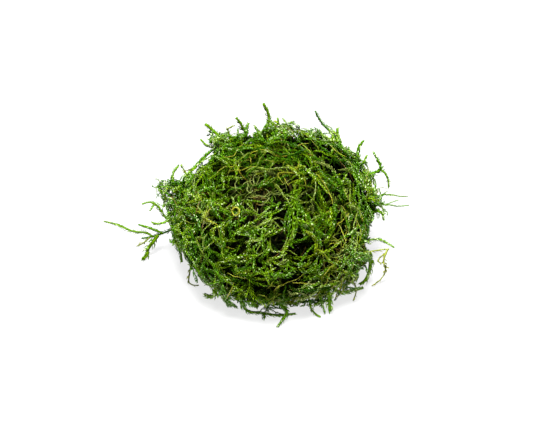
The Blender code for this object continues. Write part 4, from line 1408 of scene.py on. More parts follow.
# %% Shoots laid in the middle
LAID_MIDDLE = [
    ("yellow", (300, 176), (293, 173), (285, 172.5), (278, 174), (280, 180), (285, 184)),
    ("yellow", (282, 174), (285, 180), (289, 186)),
    ("yellow", (298, 158), (299, 163), (297, 168), (293, 171)),
    ("yellow", (291, 152.5), (297, 147), (302, 144), (309, 143.5)),
    ("yellow", (282, 168), (284, 162)),
    ("fibre", (235, 174), (237, 180), (235, 185), (236, 191)),
    ("fibre", (241, 188), (244, 184), (248, 181), (254, 180.5)),
    ("fibre", (245, 186), (247, 190), (250, 194), (253, 190)),
    ("fibre", (245, 198.5), (252, 197), (259, 195.5), (266, 196.5), (272, 194)),
    ("slender", (258, 191), (260, 186), (264, 181), (269, 178)),
    ("fibre", (251, 189), (254, 184), (253, 178), (256, 174)),
    ("fibre", (262, 207), (266, 202), (270, 198)),
    ("slender", (243, 202), (248, 201), (252, 204), (253, 209)),
    ("bright", (292, 187), (298, 182), (305, 178)),
    ("bright", (305, 169), (309, 173), (315, 178), (319, 183), (324, 188), (328, 194)),
    ("leafy", (320, 170), (323, 176), (326, 183), (333, 187)),
    ("yellow", (315, 172), (320, 178), (324, 184), (328, 190), (331, 197), (333, 204)),
    ("pale", (307, 204), (311, 201), (315, 197)),
    ("pale", (274, 183), (279, 189), (284, 196), (288, 201), (291, 207)),
    ("leafy", (262, 208), (268, 208), (275, 206), (281, 202)),
    ("leafy", (305, 185), (300, 190), (294, 192)),
    ("broad", (293, 189), (294, 197), (294, 207), (293, 216), (293, 226), (292, 236), (291, 245)),
    ("leafy", (288, 200), (289, 210), (289, 220), (289, 231), (286, 240)),
    ("leafy", (297, 196), (298, 206), (297, 216), (297, 227), (294, 238)),
    ("slender", (292, 238), (288, 243), (283, 248)),
    ("leafy", (303, 211), (308, 218), (313, 224), (316, 230), (319, 238), (322, 246)),
    ("leafy", (300, 205), (303, 213), (303, 222), (305, 231)),
    ("slender", (317, 222), (321, 217), (326, 212)),
    ("pale", (301, 218), (302, 226), (308, 224), (313, 222)),
    (
        "bright", (230, 245), (233, 240), (235, 234), (241, 230), (246, 226), (252, 223), (259, 219),
        (272, 211),
    ),
    ("broad", (249, 230), (257, 229), (265, 230), (271, 232)),
    ("pale", (251, 225), (256, 227), (262, 229), (268, 231)),
    ("bright", (264, 237), (270, 235), (277, 232), (283, 228)),
    ("pale", (258, 227), (264, 222), (270, 219), (272, 223), (268, 227)),
    ("broad", (238, 231), (237, 226), (240, 221), (247, 218)),
    ("leafy", (262, 217), (270, 214), (277, 212), (284, 208)),
    ("leafy", (240, 233), (246, 233), (251, 237), (256, 239)),
    ("pale", (245, 244), (250, 241), (256, 240), (261, 242), (259, 247), (256, 251)),
    ("pale", (270, 236), (270, 244), (272, 251), (280, 251.5), (287, 250.5), (297, 255)),
    ("bright", (268, 258), (275, 258), (281, 256), (287, 253)),
    ("leafy", (282, 240), (288, 243), (293, 247)),
    ("leafy", (228, 232), (232, 226), (236, 220)),
    ("leafy", (247, 213), (240, 214), (232, 217), (226, 219)),
    (
        "ring", (231, 216), (231.5, 210), (235, 207.5), (239, 208.5), (240, 212), (237, 215), (233, 214.5),
        (232, 211),
    ),
    ("brown", (250, 196), (255, 198), (260, 197), (266, 199)),
    ("brown", (256, 203), (260, 205), (264, 204)),
    ("leafy", (238, 205), (243, 209), (248, 213), (254, 215)),
    ("leafy", (258, 262), (263, 256), (268, 250), (268, 243)),
]
print(len(LAID_MIDDLE), "rows for the middle")

# %% [markdown]
# On the right two long pale stems hang down. Beside them are the tips of the right lobe, and below them
# yellow bows and the loose shoots of the right foot.

# %% Shoots laid on the right
LAID_RIGHT = [
    ("pale", (349, 182), (350, 190), (349.5, 198), (350, 205), (351, 212), (354, 217)),
    ("pale", (359, 204), (357, 212), (355, 220), (354, 227), (357, 234), (357, 241), (355, 254)),
    ("broad", (333, 203), (335, 210), (334, 217), (333, 224), (334, 229)),
    ("yellow", (334, 229), (338, 224), (342, 222), (346, 217), (349, 213)),
    ("slender", (324, 230), (328, 226), (333, 221)),
    ("bright", (323, 246), (328, 238), (331, 233), (334, 229)),
    ("leafy", (339, 239), (346, 236), (351, 233), (355, 230)),
    ("yellow", (327, 247), (331, 244), (336, 243), (341, 242)),
    ("olive", (342, 208), (344, 215), (347, 221), (353, 220)),
    ("olive", (343, 207), (346, 204), (351, 201)),
    ("bright", (317, 255), (323, 252), (328, 251), (333, 250)),
    ("bright", (316, 239), (315, 247), (315, 255)),
    ("leafy", (320, 256), (321, 262), (318, 270), (315, 276)),
    ("yellow", (326, 267), (332, 267.5), (333, 264), (328, 262)),
    ("yellow", (321, 280), (324, 275), (328, 270), (330, 267)),
    ("olive", (330, 256), (336, 258), (343, 255)),
    ("dark", (365, 212), (366, 220), (368, 227), (368, 235)),
    ("dark", (361, 222), (363, 230), (362, 239)),
    ("leafy", (369, 207), (365, 214), (359, 217)),
    ("slender", (368, 208), (371, 214), (373, 221)),
    ("slender", (373, 206), (378, 211), (379, 218)),
    ("leafy", (368, 203), (374, 203), (380, 204), (385, 201)),
    ("bright", (366, 199), (372, 199), (377, 202), (382, 208)),
    ("leafy", (370, 196), (377, 197), (383, 195), (387, 191)),
    ("slender", (375, 205), (381, 207), (386, 211), (388, 217)),
    ("leafy", (378, 193), (375, 187), (373, 180), (372, 175)),
    ("olive", (372, 195), (376, 191), (380, 188), (389, 188)),
    ("yellow", (374, 200), (376, 194), (379, 190)),
    ("leafy", (370, 190), (369, 183), (366, 176), (362, 170)),
    ("leafy", (363, 191), (362, 183), (359, 175), (355, 168)),
    ("leafy", (353, 166), (357, 173), (358, 181), (356, 190)),
    ("olive", (368, 188), (366, 181), (368, 173), (368, 167)),
    ("slender", (340, 188), (337, 184), (334, 190)),
    ("leafy", (336, 189), (340, 184), (345, 180), (351, 182)),
    ("leafy", (360, 196), (356, 192), (354, 197), (357, 203)),
    ("leafy", (344, 233), (347, 225), (352, 219)),
    ("leafy", (346, 251), (351, 247), (354, 256)),
    ("olive", (345, 273), (352, 268), (354, 260)),
    ("leafy", (356, 257), (362, 258), (368, 261), (371, 257)),
    ("yellow", (352, 258), (358, 257), (366, 251.5)),
    ("leafy", (358, 244), (364, 241), (371, 244)),
    ("leafy", (362, 262), (366, 266), (367, 273)),
    ("leafy", (352, 275), (350, 268), (349, 260)),
    ("leafy", (335, 272), (341, 268), (344, 262), (344, 255)),
    ("leafy", (347, 262), (353, 263), (359, 267), (364, 269)),
    ("leafy", (349, 258), (356, 259), (363, 260), (368, 258)),
    ("bright", (346, 268), (350, 272), (353, 278), (352, 284)),
    ("leafy", (352, 266), (357, 270), (358, 276), (356, 282)),
    ("olive", (348, 272), (352, 276), (355, 280), (352, 284)),
    ("yellow", (345, 279), (350, 281), (355, 280), (358, 276)),
    ("leafy", (357, 256), (363, 254), (369, 256), (371, 261)),
    ("leafy", (340, 284), (346, 287), (353, 288), (361, 287)),
    ("leafy", (365, 223), (371, 222), (374, 218)),
]
print(len(LAID_RIGHT), "rows for the right")

# %% [markdown]
# Low in front the shoots run down to the ground, with yellow stems across them and straw-coloured ones in
# the shade below.

# %% Shoots laid low in front
LAID_LOW = [
    ("bright", (228, 260), (236, 257), (245, 255), (254, 256), (259, 254)),
    ("bright", (219, 263), (225, 260), (232, 258)),
    ("leafy", (248, 250), (253, 250), (257, 253)),
    ("yellow", (247, 250), (252, 249.5), (255, 252.5)),
    ("leafy", (232, 277), (226, 280), (219, 281), (213, 283), (205, 283)),
    ("leafy", (224, 276), (222, 284), (224, 291), (226, 298), (231, 306)),
    ("yellow", (234, 281), (232, 288), (229, 294), (226, 299)),
    ("leafy", (240, 276), (250, 275), (258, 272), (264, 267)),
    ("bright", (249, 278), (256, 274), (262, 274), (266, 278), (269, 285)),
    ("slender", (200, 262), (205, 268), (209, 275), (213, 281)),
    ("leafy", (198, 267), (203, 274), (205, 283)),
    ("slender", (213, 268), (217, 274), (222, 280)),
    ("leafy", (192, 262), (197, 269), (202, 277)),
    ("slender", (206, 261), (213, 264), (221, 266)),
    ("leafy", (215, 253), (221, 256), (228, 256)),
    ("slender", (221, 254), (224, 247), (224, 241)),
    ("leafy", (229, 269), (238, 270), (247, 268), (256, 267)),
    ("bright", (233, 274), (239, 272), (246, 273)),
    ("olive", (266, 286.5), (272, 286), (278, 287), (284, 285)),
    ("olive", (266, 290), (270, 286), (274, 281)),
    ("yellow", (273, 293), (277, 288), (283, 284), (290, 281.5), (297, 279), (304, 274)),
    ("yellow", (289, 283), (298, 282.5), (306, 284), (313, 284), (320, 282.5)),
    ("leafy", (269, 284), (274, 278), (279, 273)),
    ("leafy", (266, 269), (271, 273), (276, 277)),
    ("leafy", (295, 270), (304, 272), (312, 271), (318, 274)),
    ("bright", (310, 277), (313, 272), (317, 269)),
    ("pale", (279, 265), (283, 261), (287, 259)),
    ("leafy", (287, 258), (288, 265), (285, 272)),
    ("leafy", (291, 262), (298, 265), (304, 263)),
    ("olive", (303, 270), (308, 265), (312, 262)),
    ("leafy", (275, 273), (283, 275), (290, 273)),
    ("leafy", (299, 281), (307, 278), (314, 279)),
    ("dark", (289, 292), (300, 290), (310, 291), (320, 290), (328, 286)),
    ("olive", (289, 298), (296, 298), (304, 297)),
    ("olive", (311, 296), (320, 296), (330, 293)),
    ("olive", (255, 296), (262, 295), (268, 299), (274, 298), (280, 294)),
    ("yellow", (335, 298), (338, 292), (341, 285), (343, 277)),
    ("yellow", (337, 297), (342, 292), (345, 286)),
    ("yellow", (326, 284), (332, 283), (337, 288)),
    ("pale", (320, 279), (322, 285), (319, 288)),
    ("leafy", (322, 298), (318, 302), (314, 306)),
    ("leafy", (331, 288), (336, 281), (340, 273)),
    ("leafy", (300, 285), (306, 287), (313, 287)),
    ("straw", (286, 297), (293, 294), (300, 293), (307, 295)),
    ("straw", (290, 301), (298, 299), (306, 300)),
    ("straw", (270, 296), (276, 300), (283, 303)),
    ("straw", (300, 296), (309, 297), (318, 298)),
    ("straw", (292, 290), (299, 289), (306, 291)),
    ("dark", (300, 303), (308, 301), (316, 301), (325, 299)),
    ("dark", (306, 305), (313, 303), (321, 303)),
    ("dark", (284, 305), (292, 304), (300, 304)),
    ("leafy", (268, 300), (268, 305), (266, 310), (264, 314)),
    ("leafy", (274, 301), (279, 305), (283, 308), (286, 312)),
    ("leafy", (264, 306), (270, 309), (275, 312), (280, 314)),
    ("leafy", (270, 304), (275, 307), (281, 309)),
    ("olive", (271, 303), (268, 309), (265, 316)),
    ("slender", (259, 312), (263, 308), (267, 308), (269, 312)),
    ("leafy", (243, 296), (245, 301), (249, 304), (255, 306)),
    ("leafy", (236, 297), (240, 302), (245, 307)),
    ("leafy", (224, 296), (229, 301), (235, 305)),
]
print(len(LAID_LOW), "rows for the front")

# %% [markdown]
# A bundle is clothed by tone and thickness: green shoots get leaves and a thin skin, and bare or very thin
# ones a thick skin with small scales here and there, which are what is left of old leaves. A green shoot may
# bear sprigs as well.

# %% Clothing a bundle
BARE_FROM = STEM_TONE - 0.01
THINNEST_LEAFY = 0.25
STEM_SHARE = 1.0
STEM_SPACING = 0.9
STEM_PAINTED_LIGHT = 0.85
SCALE_SHARE = 1.6
SCALE_SPREAD = 1.2
SCALE_GAP = 1.3
LAID_SPREAD = 0.9
LAID_SKIN_SHARE = 0.4
LAID_SKIN_PAINTED_LIGHT = 0.5
WILD_SPRIGS = 0.1
SPRIG_CROSSERS = 0.1


def bare_stem_shapes(shoots):
    """The shapes of bare stems: skins, with small scales on them."""
    scales = Shoots(shoots.places, shoots.steps, shoots.girth * SCALE_SHARE, shoots.tone, shoots.fresh)
    skin = skins_on(shoots, STEM_SHARE, STEM_SPACING, shine=STEM_PAINTED_LIGHT)
    return [skin, leaves_on(scales, SCALE_SPREAD, SCALE_GAP)]


def clothed(shoots, sprig_count):
    """The shapes of a bundle, where each leafy shoot bears this many sprigs."""
    is_bare = (shoots.tone >= BARE_FROM) | (shoots.girth < THINNEST_LEAFY)
    leafy = shoots.only(np.flatnonzero(~is_bare))
    bare = shoots.only(np.flatnonzero(is_bare))
    shapes = [leaves_on(leafy, LAID_SPREAD), skins_on(leafy, LAID_SKIN_SHARE, shine=LAID_SKIN_PAINTED_LIGHT)]
    if len(bare):
        shapes += bare_stem_shapes(bare)
    sprigs = branches_of(leafy, sprig_count, WILD_SPRIGS)
    sprigs = cut_at_edge(out_of_gaps(sprigs, SPRIG_CROSSERS))
    return [*shapes, leaves_on(sprigs), skins_on(sprigs)]


print("shoots under", THINNEST_LEAFY, "mm thick are bare")

# %% [markdown]
# A laid shoot starts a little inside the clump and then lies just above the other shoots, with a little
# chance in its height, thickness and colour, so that no two are alike.

# %% The laid shoots' pieces
ROOT_LIFT = -0.8
LAID_LIFT = 3.1
HIGHER = {"ring": 1.6, "star": 1.0, "fibre": 0.5, "pale": 0.4}
LIFT_CHANGE = 0.5
GIRTH_CHANGE = (0.88, 1.12)
TONE_CHANGE = 0.05
EXACT_TONES_FROM = 0.6
FRESH_CHANGE = (0.9, 1.05)
LAID_SPRIGS = 2
LAID = {"left": LAID_LEFT, "crown": LAID_CROWN, "middle": LAID_MIDDLE, "right": LAID_RIGHT, "low": LAID_LOW}


def laid_shoots(table):
    """The bundle of these laid shoots."""
    routes = []
    girths = []
    tones = []
    freshness = []
    for look, *pixels in table:
        lift = LAID_LIFT + HIGHER.get(look, 0) + chance.normal(0, LIFT_CHANGE, len(pixels))
        lift[0] = ROOT_LIFT
        places = laid_on_clump(pixels, lift)
        places[:, 2] = np.maximum(places[:, 2], LOWEST)
        routes.append(unsteady(smooth_route(places)))
        girth, tone, fresh = LOOKS[look]
        girths.append(girth * chance.uniform(*GIRTH_CHANGE))
        if tone < EXACT_TONES_FROM:
            tone = tone + chance.normal(0, TONE_CHANGE)
        tones.append(tone)
        freshness.append(fresh * chance.uniform(*FRESH_CHANGE))
    return bundled(routes, girths, np.clip(tones, LOWEST_TONE, STEM_TONE_END), np.clip(freshness, 0, 1))


for region, table in LAID.items():
    shapes = clothed(laid_shoots(table), LAID_SPRIGS)
    piece = make_piece(region + "_laid_shoots", shapes, "leafy_shoot", "moss_tangle")
    print(piece.name, "has", len(table), "shoots and", len(piece.data.polygons), "triangles")

# %% [markdown]
# A patch above the middle is old growth that has come apart into fine, curly, pale fibres. They are far too
# many and too thin to be laid one by one, so they are grown like the shoots, but short and turning fast.

# %% The curly fibres
FIBRE_COUNT = 110
FIBRE_PATCH = (256, 190)
FIBRE_SPREAD = (12, 9)
FIBRE_LIFTS = (-1.0, 2.2)
FIBRE_STEPS = (2, 6)
FIBRE_SINKING = 0.8
FIBRE_WANDER = 0.8
FIBRE_CURL = 0.8
BROWN_FIBRES = 0.1
FIBRE_BROWN = 0.955
FIBRE_TONES = (0.6, 0.75)
FIBRE_GIRTHS = (0.06, 0.1)
FIBRE_FRESHNESS = (0.5, 1.6)
FIBRE_SPACING = 0.7

pixels = np.array(FIBRE_PATCH) + chance.normal(0, 1, (FIBRE_COUNT, 2)) * FIBRE_SPREAD
lift = chance.uniform(*FIBRE_LIFTS, FIBRE_COUNT)
starts = laid_on_clump(pixels, lift)
headings = unit(np.cross(unit(starts - MIDDLE), chance.normal(0, 1, (FIBRE_COUNT, 3))))
steps = chance.integers(*FIBRE_STEPS, FIBRE_COUNT)
depth_last = -lift + chance.normal(0, FIBRE_SINKING, FIBRE_COUNT)
curl = chance.normal(0, FIBRE_CURL, FIBRE_COUNT)
places = grow(starts, headings, steps, -lift, depth_last, FIBRE_WANDER, curl)
is_brown = chance.random(FIBRE_COUNT) < BROWN_FIBRES
tone = np.where(is_brown, FIBRE_BROWN, chance.uniform(*FIBRE_TONES, FIBRE_COUNT))
girth = chance.uniform(*FIBRE_GIRTHS, FIBRE_COUNT)
fibres = Shoots(places, steps, girth, tone, chance.uniform(*FIBRE_FRESHNESS, FIBRE_COUNT))
skin = skins_on(fibres, STEM_SHARE, FIBRE_SPACING, shine=STEM_PAINTED_LIGHT)
piece = make_piece("curly_fibres", [skin], "leafy_shoot", "moss_tangle")
print(len(fibres), "curly fibres with", len(piece.data.polygons), "triangles")

# %% [markdown]
# Inside, the clump is a loose web of old stems that no light reaches. Without them the gaps would show the
# white ground behind. It takes about 1,500 of them, but they stay plain: no leaves, and skins with long
# faces, because only their darkness is seen. Near the ground they lie closer to the surface.

# %% The old stems inside
OLD_COUNT = 1500
OLD_SCATTER = 0.1
SHALLOW_SHARE = 0.65
SHALLOW_DEPTHS = (2.6, 6)
DEEP_DEPTHS = (6, 16)
LOW_STEM = -0.35
LOW_DEPTHS = (0.9, 3.6)
OLD_HEIGHT = 2
OLD_STEPS = (16, 40)
OLD_CLIMB = 2
OLD_WANDER = 0.34
OLD_CURL = 0.12
BROWNEST = 0.9
OLD_GIRTHS = (0.3, 0.8)
OLD_SPACING = 1.9

directions = unit(even_directions(OLD_COUNT) + chance.normal(0, OLD_SCATTER, (OLD_COUNT, 3)))
depth_first = either(SHALLOW_SHARE, SHALLOW_DEPTHS, DEEP_DEPTHS, OLD_COUNT)
low = directions[:, 2] < LOW_STEM
depth_first = np.where(low, chance.uniform(*LOW_DEPTHS, OLD_COUNT), depth_first)
starts = below_surface(directions, depth_first)
starts[:, 2] = np.maximum(starts[:, 2], OLD_HEIGHT)
headings = unit(np.cross(directions, chance.normal(0, 1, (OLD_COUNT, 3))))
steps = chance.integers(*OLD_STEPS, OLD_COUNT)
depth_last = depth_first + chance.normal(0, OLD_CLIMB, OLD_COUNT)
depth_last = np.maximum(depth_last, np.where(low, LOW_DEPTHS[0], SHALLOW_DEPTHS[0]))
curl = chance.normal(0, OLD_CURL, OLD_COUNT)
places = grow(starts, headings, steps, depth_first, depth_last, OLD_WANDER, curl)
tone = BROWNEST * chance.random(OLD_COUNT) ** 2
old_stems = cut_at_edge(Shoots(places, steps, chance.uniform(*OLD_GIRTHS, OLD_COUNT), tone, 0.0))
skin = skins_on(old_stems, STEM_SHARE, OLD_SPACING)
piece = make_piece("old_stems", [skin], "moss_tangle", "moss_tangle", finish=old_moss)
print(len(old_stems), "old stems with", len(piece.data.polygons), "triangles")

# %% [markdown]
# The tufts are pieces of their own, by side, and each of their leafy shoots bears one short sprig.

# %% The tufts' pieces
SIDES = {"left": "left", "right": "right", "crown": "crown", "foot": "front", "back": "back"}
TUFT_SPRIGS = 1

for side, start in SIDES.items():
    shapes = []
    for name, shoots in tufts.items():
        if name.startswith(start):
            shapes += clothed(shoots, TUFT_SPRIGS)
    piece = make_piece(side + "_tufts", shapes, "leafy_shoot", "moss_tangle")
    print(piece.name, "has", len(piece.data.polygons), "triangles")

# %% [markdown]
# Each region of the clump becomes one piece, with the leaves and skins of the shoots that start in it.

# %% The clump's regions
REGIONS = [
    "left_front", "front_left", "front_right", "right_back", "back_right", "back_left", "crown", "underside",
]
SIDE_REGIONS = 6
CROWN_HEIGHT = 0.62
UNDERSIDE_HEIGHT = -0.55


def region_of(shoots):
    """The number of the region that each shoot starts in."""
    outward = unit(shoots.places[0] - MIDDLE)
    angle = np.arctan2(outward[:, 1], outward[:, 0]) + math.pi
    region = (angle / (2 * math.pi) * SIDE_REGIONS).astype(int) % SIDE_REGIONS
    region = np.where(outward[:, 2] > CROWN_HEIGHT, SIDE_REGIONS, region)
    return np.where(outward[:, 2] < UNDERSIDE_HEIGHT, SIDE_REGIONS + 1, region)


for number, region in enumerate(REGIONS):
    shapes = []
    for shoots in (main_shoots, branches):
        here = shoots.only(np.flatnonzero(region_of(shoots) == number))
        shapes += [leaves_on(here), skins_on(here)]
    stems = bare_stems.only(np.flatnonzero(region_of(bare_stems) == number))
    shapes += bare_stem_shapes(stems)
    piece = make_piece(region + "_shoots", shapes, "leafy_shoot", "moss_tangle")
    print(piece.name, "has", len(piece.data.polygons), "triangles")
print("all so far:", sum(len(piece.data.polygons) for piece in made_pieces), "triangles")

# %% [markdown]
# Some shoots stray far enough out of the clump to be seen one by one. Each of them is a solid of its own in
# the frame, a plain tapering tube. Here the same route is clothed with leaves, or left bare where the
# picture shows a bare stem, and takes the tube's place.
# Each row of the next four lists is one stray: its thickness, its look and the places that it passes, in
# millimetres, from the clump or the shoot that bears it to its tip. On the left the one that reaches out
# farthest has four branches.

# %% Stray shoots on the left
FAT = 1.6
LEAFY = 1.2
SLENDER = 0.9
THREAD = 0.4
WHISKER = 0.5
LEFT_STRAYS = {
    "left_forked_shoot": (SLENDER, "old", [
        (-36, 13.5, 10), (-42, 12, 8.5), (-45.5, 11.5, 7.5), (-49.5, 11, 7),
    ]),
    "left_forked_shoot_long_branch": (SLENDER, "shaded leaf", [
        (-45.5, 11.5, 7.5), (-48, 12, 9), (-53, 11.5, 10), (-58, 13, 11.7), (-63.5, 15, 12),
    ]),
    "left_forked_shoot_upper_branch": (SLENDER, "shaded leaf", [
        (-41.5, 12, 8.6), (-45.5, 11.5, 11), (-50.5, 11.5, 13),
    ]),
    "left_forked_shoot_thin_branch": (THREAD, "olive", [
        (-46.6, 11.2, 7.4), (-48.8, 10, 5.8), (-51.5, 9.5, 4.5),
    ]),
    "left_forked_shoot_lower_branch": (FAT, "shaded leaf", [
        (-43.5, 11.8, 8), (-45.5, 9.5, 6), (-47.3, 9, 3.5), (-47.6, 7.4, 1.8), (-49.2, 5.7, 1.2),
    ]),
    "left_hooked_shoot": (SLENDER, "leaf", [
        (-37.5, 2, 21.5), (-39.5, 2, 23), (-42, 1, 28.4), (-44.5, 0, 31), (-47.4, -1, 30.7),
    ]),
    "left_low_sprig": (SLENDER, "leaf", [
        (-36, -4, 27), (-39.6, -6, 26.2), (-41.8, -7, 26.3), (-43.6, -8, 27.7),
    ]),
    "left_spike": (SLENDER, "leaf", [(-35.6, 6, 33), (-36.6, 7, 35.5), (-36.4, 8, 38), (-34.5, 8, 41)]),
    "left_low_spike": (LEAFY, "leaf", [(-35, 2.5, 9.5), (-34.6, 1.6, 7), (-34.1, 0.3, 4)]),
    "left_brown_thread": (THREAD, "olive", [
        (-29.6, -6.4, 9), (-30.8, -8, 5.5), (-31.2, -8.4, 1.4), (-29.4, -9.4, 0.8), (-27.6, -9.4, 0.8),
    ]),
}
print(len(LEFT_STRAYS), "strays on the left")

# %% [markdown]
# On the crown they are spikes, blades and hooks. The tallest rises near the middle, a whip on its right
# leans towards it, and at the upper left one lies along the clump as a loose arch.

# %% Stray shoots on the crown
CROWN_STRAYS = {
    "upper_left_loose_arch": (LEAFY, "shaded leaf", [
        (-31.6, 14, 33.4), (-27.6, 17, 36.5), (-23.8, 20, 39.3), (-20, 22, 41), (-16, 23, 42),
    ]),
    "upper_left_spike": (SLENDER, "leaf", [
        (-20.5, 24, 37.8), (-22.7, 24, 38.8), (-25.4, 24, 40.1), (-27.1, 24, 42.4),
    ]),
    "crown_left_blade": (FAT, "leaf", [
        (-18.6, 26, 39.3), (-20.2, 26, 42), (-22.8, 25.5, 45.4), (-25.2, 24.5, 48.5),
    ]),
    "crown_left_hook": (THREAD, "olive", [
        (-16.2, 26, 41.8), (-17.2, 26, 45.1), (-16, 26, 46.4), (-14.4, 26, 47),
    ]),
    "crown_middle_blade": (LEAFY, "leaf", [
        (-10.2, 26, 40), (-10.5, 26, 43.5), (-12.3, 25, 48), (-13.9, 24, 51.5),
    ]),
    "crown_small_blade": (SLENDER, "leaf", [(-4, 26, 41.5), (-5.5, 26, 44), (-7.4, 25, 47.5)]),
    "crown_tall_shoot": (LEAFY, "leaf", [
        (-3.2, 27, 44), (-2.4, 27, 47), (-2.2, 27, 49.6), (-2.9, 26.5, 53.3), (-4.1, 26, 56.4),
    ]),
    "crown_knob": (SLENDER, "leaf", [(2, 27, 45), (1.4, 27, 47), (1.1, 27, 49.6)]),
    "crown_right_whip": (SLENDER, "old", [
        (23.6, 25, 40.2), (21.8, 25, 43.4), (18.2, 25, 47.4), (16.1, 25, 50.6), (14.7, 25, 53.8),
    ]),
    "crown_right_blade": (LEAFY, "leaf", [
        (25.7, 22, 36.2), (24.6, 22, 39.5), (23.2, 22, 43), (22.7, 22, 48.2),
    ]),
}
print(len(CROWN_STRAYS), "strays on the crown")

# %% [markdown]
# On the right one arches out and forks, thin whiskers reach out of the side lobe, and a yellow stem droops
# to the ground.

# %% Stray shoots on the right
RIGHT_STRAYS = {
    "right_shoulder_curl": (LEAFY, "shaded leaf", [
        (30, 18, 36.8), (30.2, 18, 40.5), (30.7, 18, 43.2), (32.1, 18, 45.5),
    ]),
    "right_shoulder_twig": (SLENDER, "leaf", [(31, 15, 36), (32.4, 15, 38.6), (33.4, 15, 41.2)]),
    "right_arching_shoot": (LEAFY, "leaf", [
        (33, 10, 35.5), (35.6, 10, 36.9), (38, 10, 38.2), (37.2, 10, 41.5), (35.2, 10, 45.5),
    ]),
    "right_arching_shoot_drooping_branch": (SLENDER, "leaf", [
        (38, 10, 38.2), (39.8, 10, 36.6), (41, 9.5, 33.8), (41.2, 9, 31.2),
    ]),
    "right_upper_whisker": (WHISKER, "leaf", [
        (38, 7, 29.2), (42.4, 8, 28.6), (45.2, 8, 28), (48.3, 8, 28),
    ]),
    "right_lower_whisker": (WHISKER, "leaf", [
        (36.5, 4, 26.9), (40.4, 5, 26.4), (44.5, 5, 25.7), (48.6, 5, 26.2),
    ]),
    "right_fringe": (LEAFY, "leaf", [(35.7, 1, 26.4), (38.4, 1, 25.6), (39.2, 0, 23)]),
    "right_bent_shoot": (SLENDER, "leaf", [
        (32, -5, 17.4), (35.5, -5, 18.2), (38, -5, 18.1), (39.8, -5.2, 17), (43, -6, 15.2),
    ]),
    "right_yellow_stem": (THREAD, "yellow", [
        (30, -11, 16.5), (34, -11.6, 17.6), (37, -12, 18.6), (40.6, -12, 19),
    ]),
    "right_yellow_stem_drooping_branch": (THREAD, "yellow", [
        (40, -12, 19), (38.6, -14, 15.6), (39.8, -10, 9), (40, -6.5, 4), (38.2, -7.6, 1.6),
        (35.2, -9.9, 0.8),
    ]),
    "right_low_curl": (FAT, "leaf", [
        (32.6, -8, 14), (34.3, -8, 11.6), (34.4, -8, 8), (34, -8, 5), (32.8, -9, 2.6), (30.8, -9.8, 1.4),
    ]),
}
print(len(RIGHT_STRAYS), "strays on the right")

# %% [markdown]
# In front they come down to the ground like toes. The longest trails along it, and another lies across it.

# %% Stray shoots in front
FRONT_STRAYS = {
    "front_right_sprig": (LEAFY, "leaf", [
        (22.4, -21, 7), (25, -19.4, 5.4), (28.1, -15.4, 3), (31.9, -12, 1.6),
    ]),
    "front_right_thread": (THREAD, "olive", [(28.2, -17, 7.6), (29, -17.6, 4), (28, -18.6, 0.8)]),
    "front_right_leafy_toe": (FAT, "leaf", [(18.6, -24.5, 9.8), (19.2, -25, 6), (19.5, -25, 1.2)]),
    "front_right_thin_toe": (SLENDER, "leaf", [(15.4, -25.5, 9.7), (16.3, -25.4, 6), (17.7, -26, 1)]),
    "front_middle_twig": (SLENDER, "leaf", [
        (12, -26, 7.4), (12.6, -24.8, 2.8), (14.2, -26.2, 1), (16.1, -27.8, 0.8),
    ]),
    "front_trailing_shoot": (LEAFY, "leaf", [
        (-12.8, -26.5, 12.6), (-12, -26.4, 8.6), (-11.2, -24.6, 3), (-9, -25.2, 1.1), (-5, -25.6, 0.9),
        (1.1, -27, 0.9), (7.3, -26.1, 0.9),
    ]),
    "front_trailing_shoot_crossing_branch": (LEAFY, "leaf", [
        (-1, -27.4, 11), (0.2, -27.4, 8), (2.6, -27, 5.4), (4.2, -27, 3), (3.8, -29, 2.4),
        (0.8, -33.4, 0.9),
    ]),
    "front_leafy_toe": (FAT, "leaf", [
        (-10.4, -27, 12), (-8.8, -26.6, 8), (-7.2, -24.6, 4), (-6.4, -23.2, 1.6),
    ]),
    "front_left_tuft": (LEAFY, "leaf", [
        (-19.4, -22.5, 12), (-19, -23.4, 8), (-17.6, -23, 4.4), (-16.6, -22, 1.2),
    ]),
    "front_left_curl": (FAT, "leaf", [
        (-21, -19.6, 9), (-21, -19, 5.6), (-21.6, -18, 2.8), (-23, -17.2, 1.6), (-25.3, -15.4, 1.3),
    ]),
}
print(len(FRONT_STRAYS), "strays in front")

# %% [markdown]
# A few strays bear a twig. In the frame it is fused to the shoot's solid, so here it is in the same piece.
# Each look has a tone and a freshness, as the laid shoots' looks do, and a slot name.

# %% The strays' twigs and looks
STRAYS = {**LEFT_STRAYS, **CROWN_STRAYS, **RIGHT_STRAYS, **FRONT_STRAYS}
TWIGS = {
    "left_hooked_shoot": [(-43, 0.7, 29.6), (-44.6, -2, 28.6)],
    "crown_middle_blade": [(-10.6, 26, 43.2), (-9.6, 27, 47.5)],
    "right_lower_whisker": [(40.2, 5, 26.4), (42.6, 5.6, 27.2), (44.8, 6, 27.8)],
    "right_yellow_stem_drooping_branch": [
        (39.6, -12.8, 18), (36.8, -13.4, 15.6), (37.6, -13.4, 13.8), (39, -12.4, 13.2),
    ],
    "front_trailing_shoot": [(-3.9, -25.8, 0.9), (-3.7, -28.6, 0.8)],
    "front_left_tuft": [(-17.7, -23, 4.6), (-15.4, -22.6, 2), (-13.4, -22.4, 0.9)],
}
STRAY_LOOKS = {
    "leaf": (0.27, 0.8),
    # Painted shade: a darker, less fresh green for strays that lie in shade.
    "shaded leaf": (0.22, 0.68),
    "old": (0.05, 0.75),
    "olive": (0.82, 0.75),
    "yellow": (0.87, 0.9),
}
STRAY_SLOTS = {
    "leaf": "leafy_shoot",
    "shaded leaf": "leafy_shoot",
    "old": "olive_stem",
    "olive": "olive_stem",
    "yellow": "yellow_stem",
}
print(len(STRAYS), "stray shoots, of which", len(TWIGS), "bear a twig")

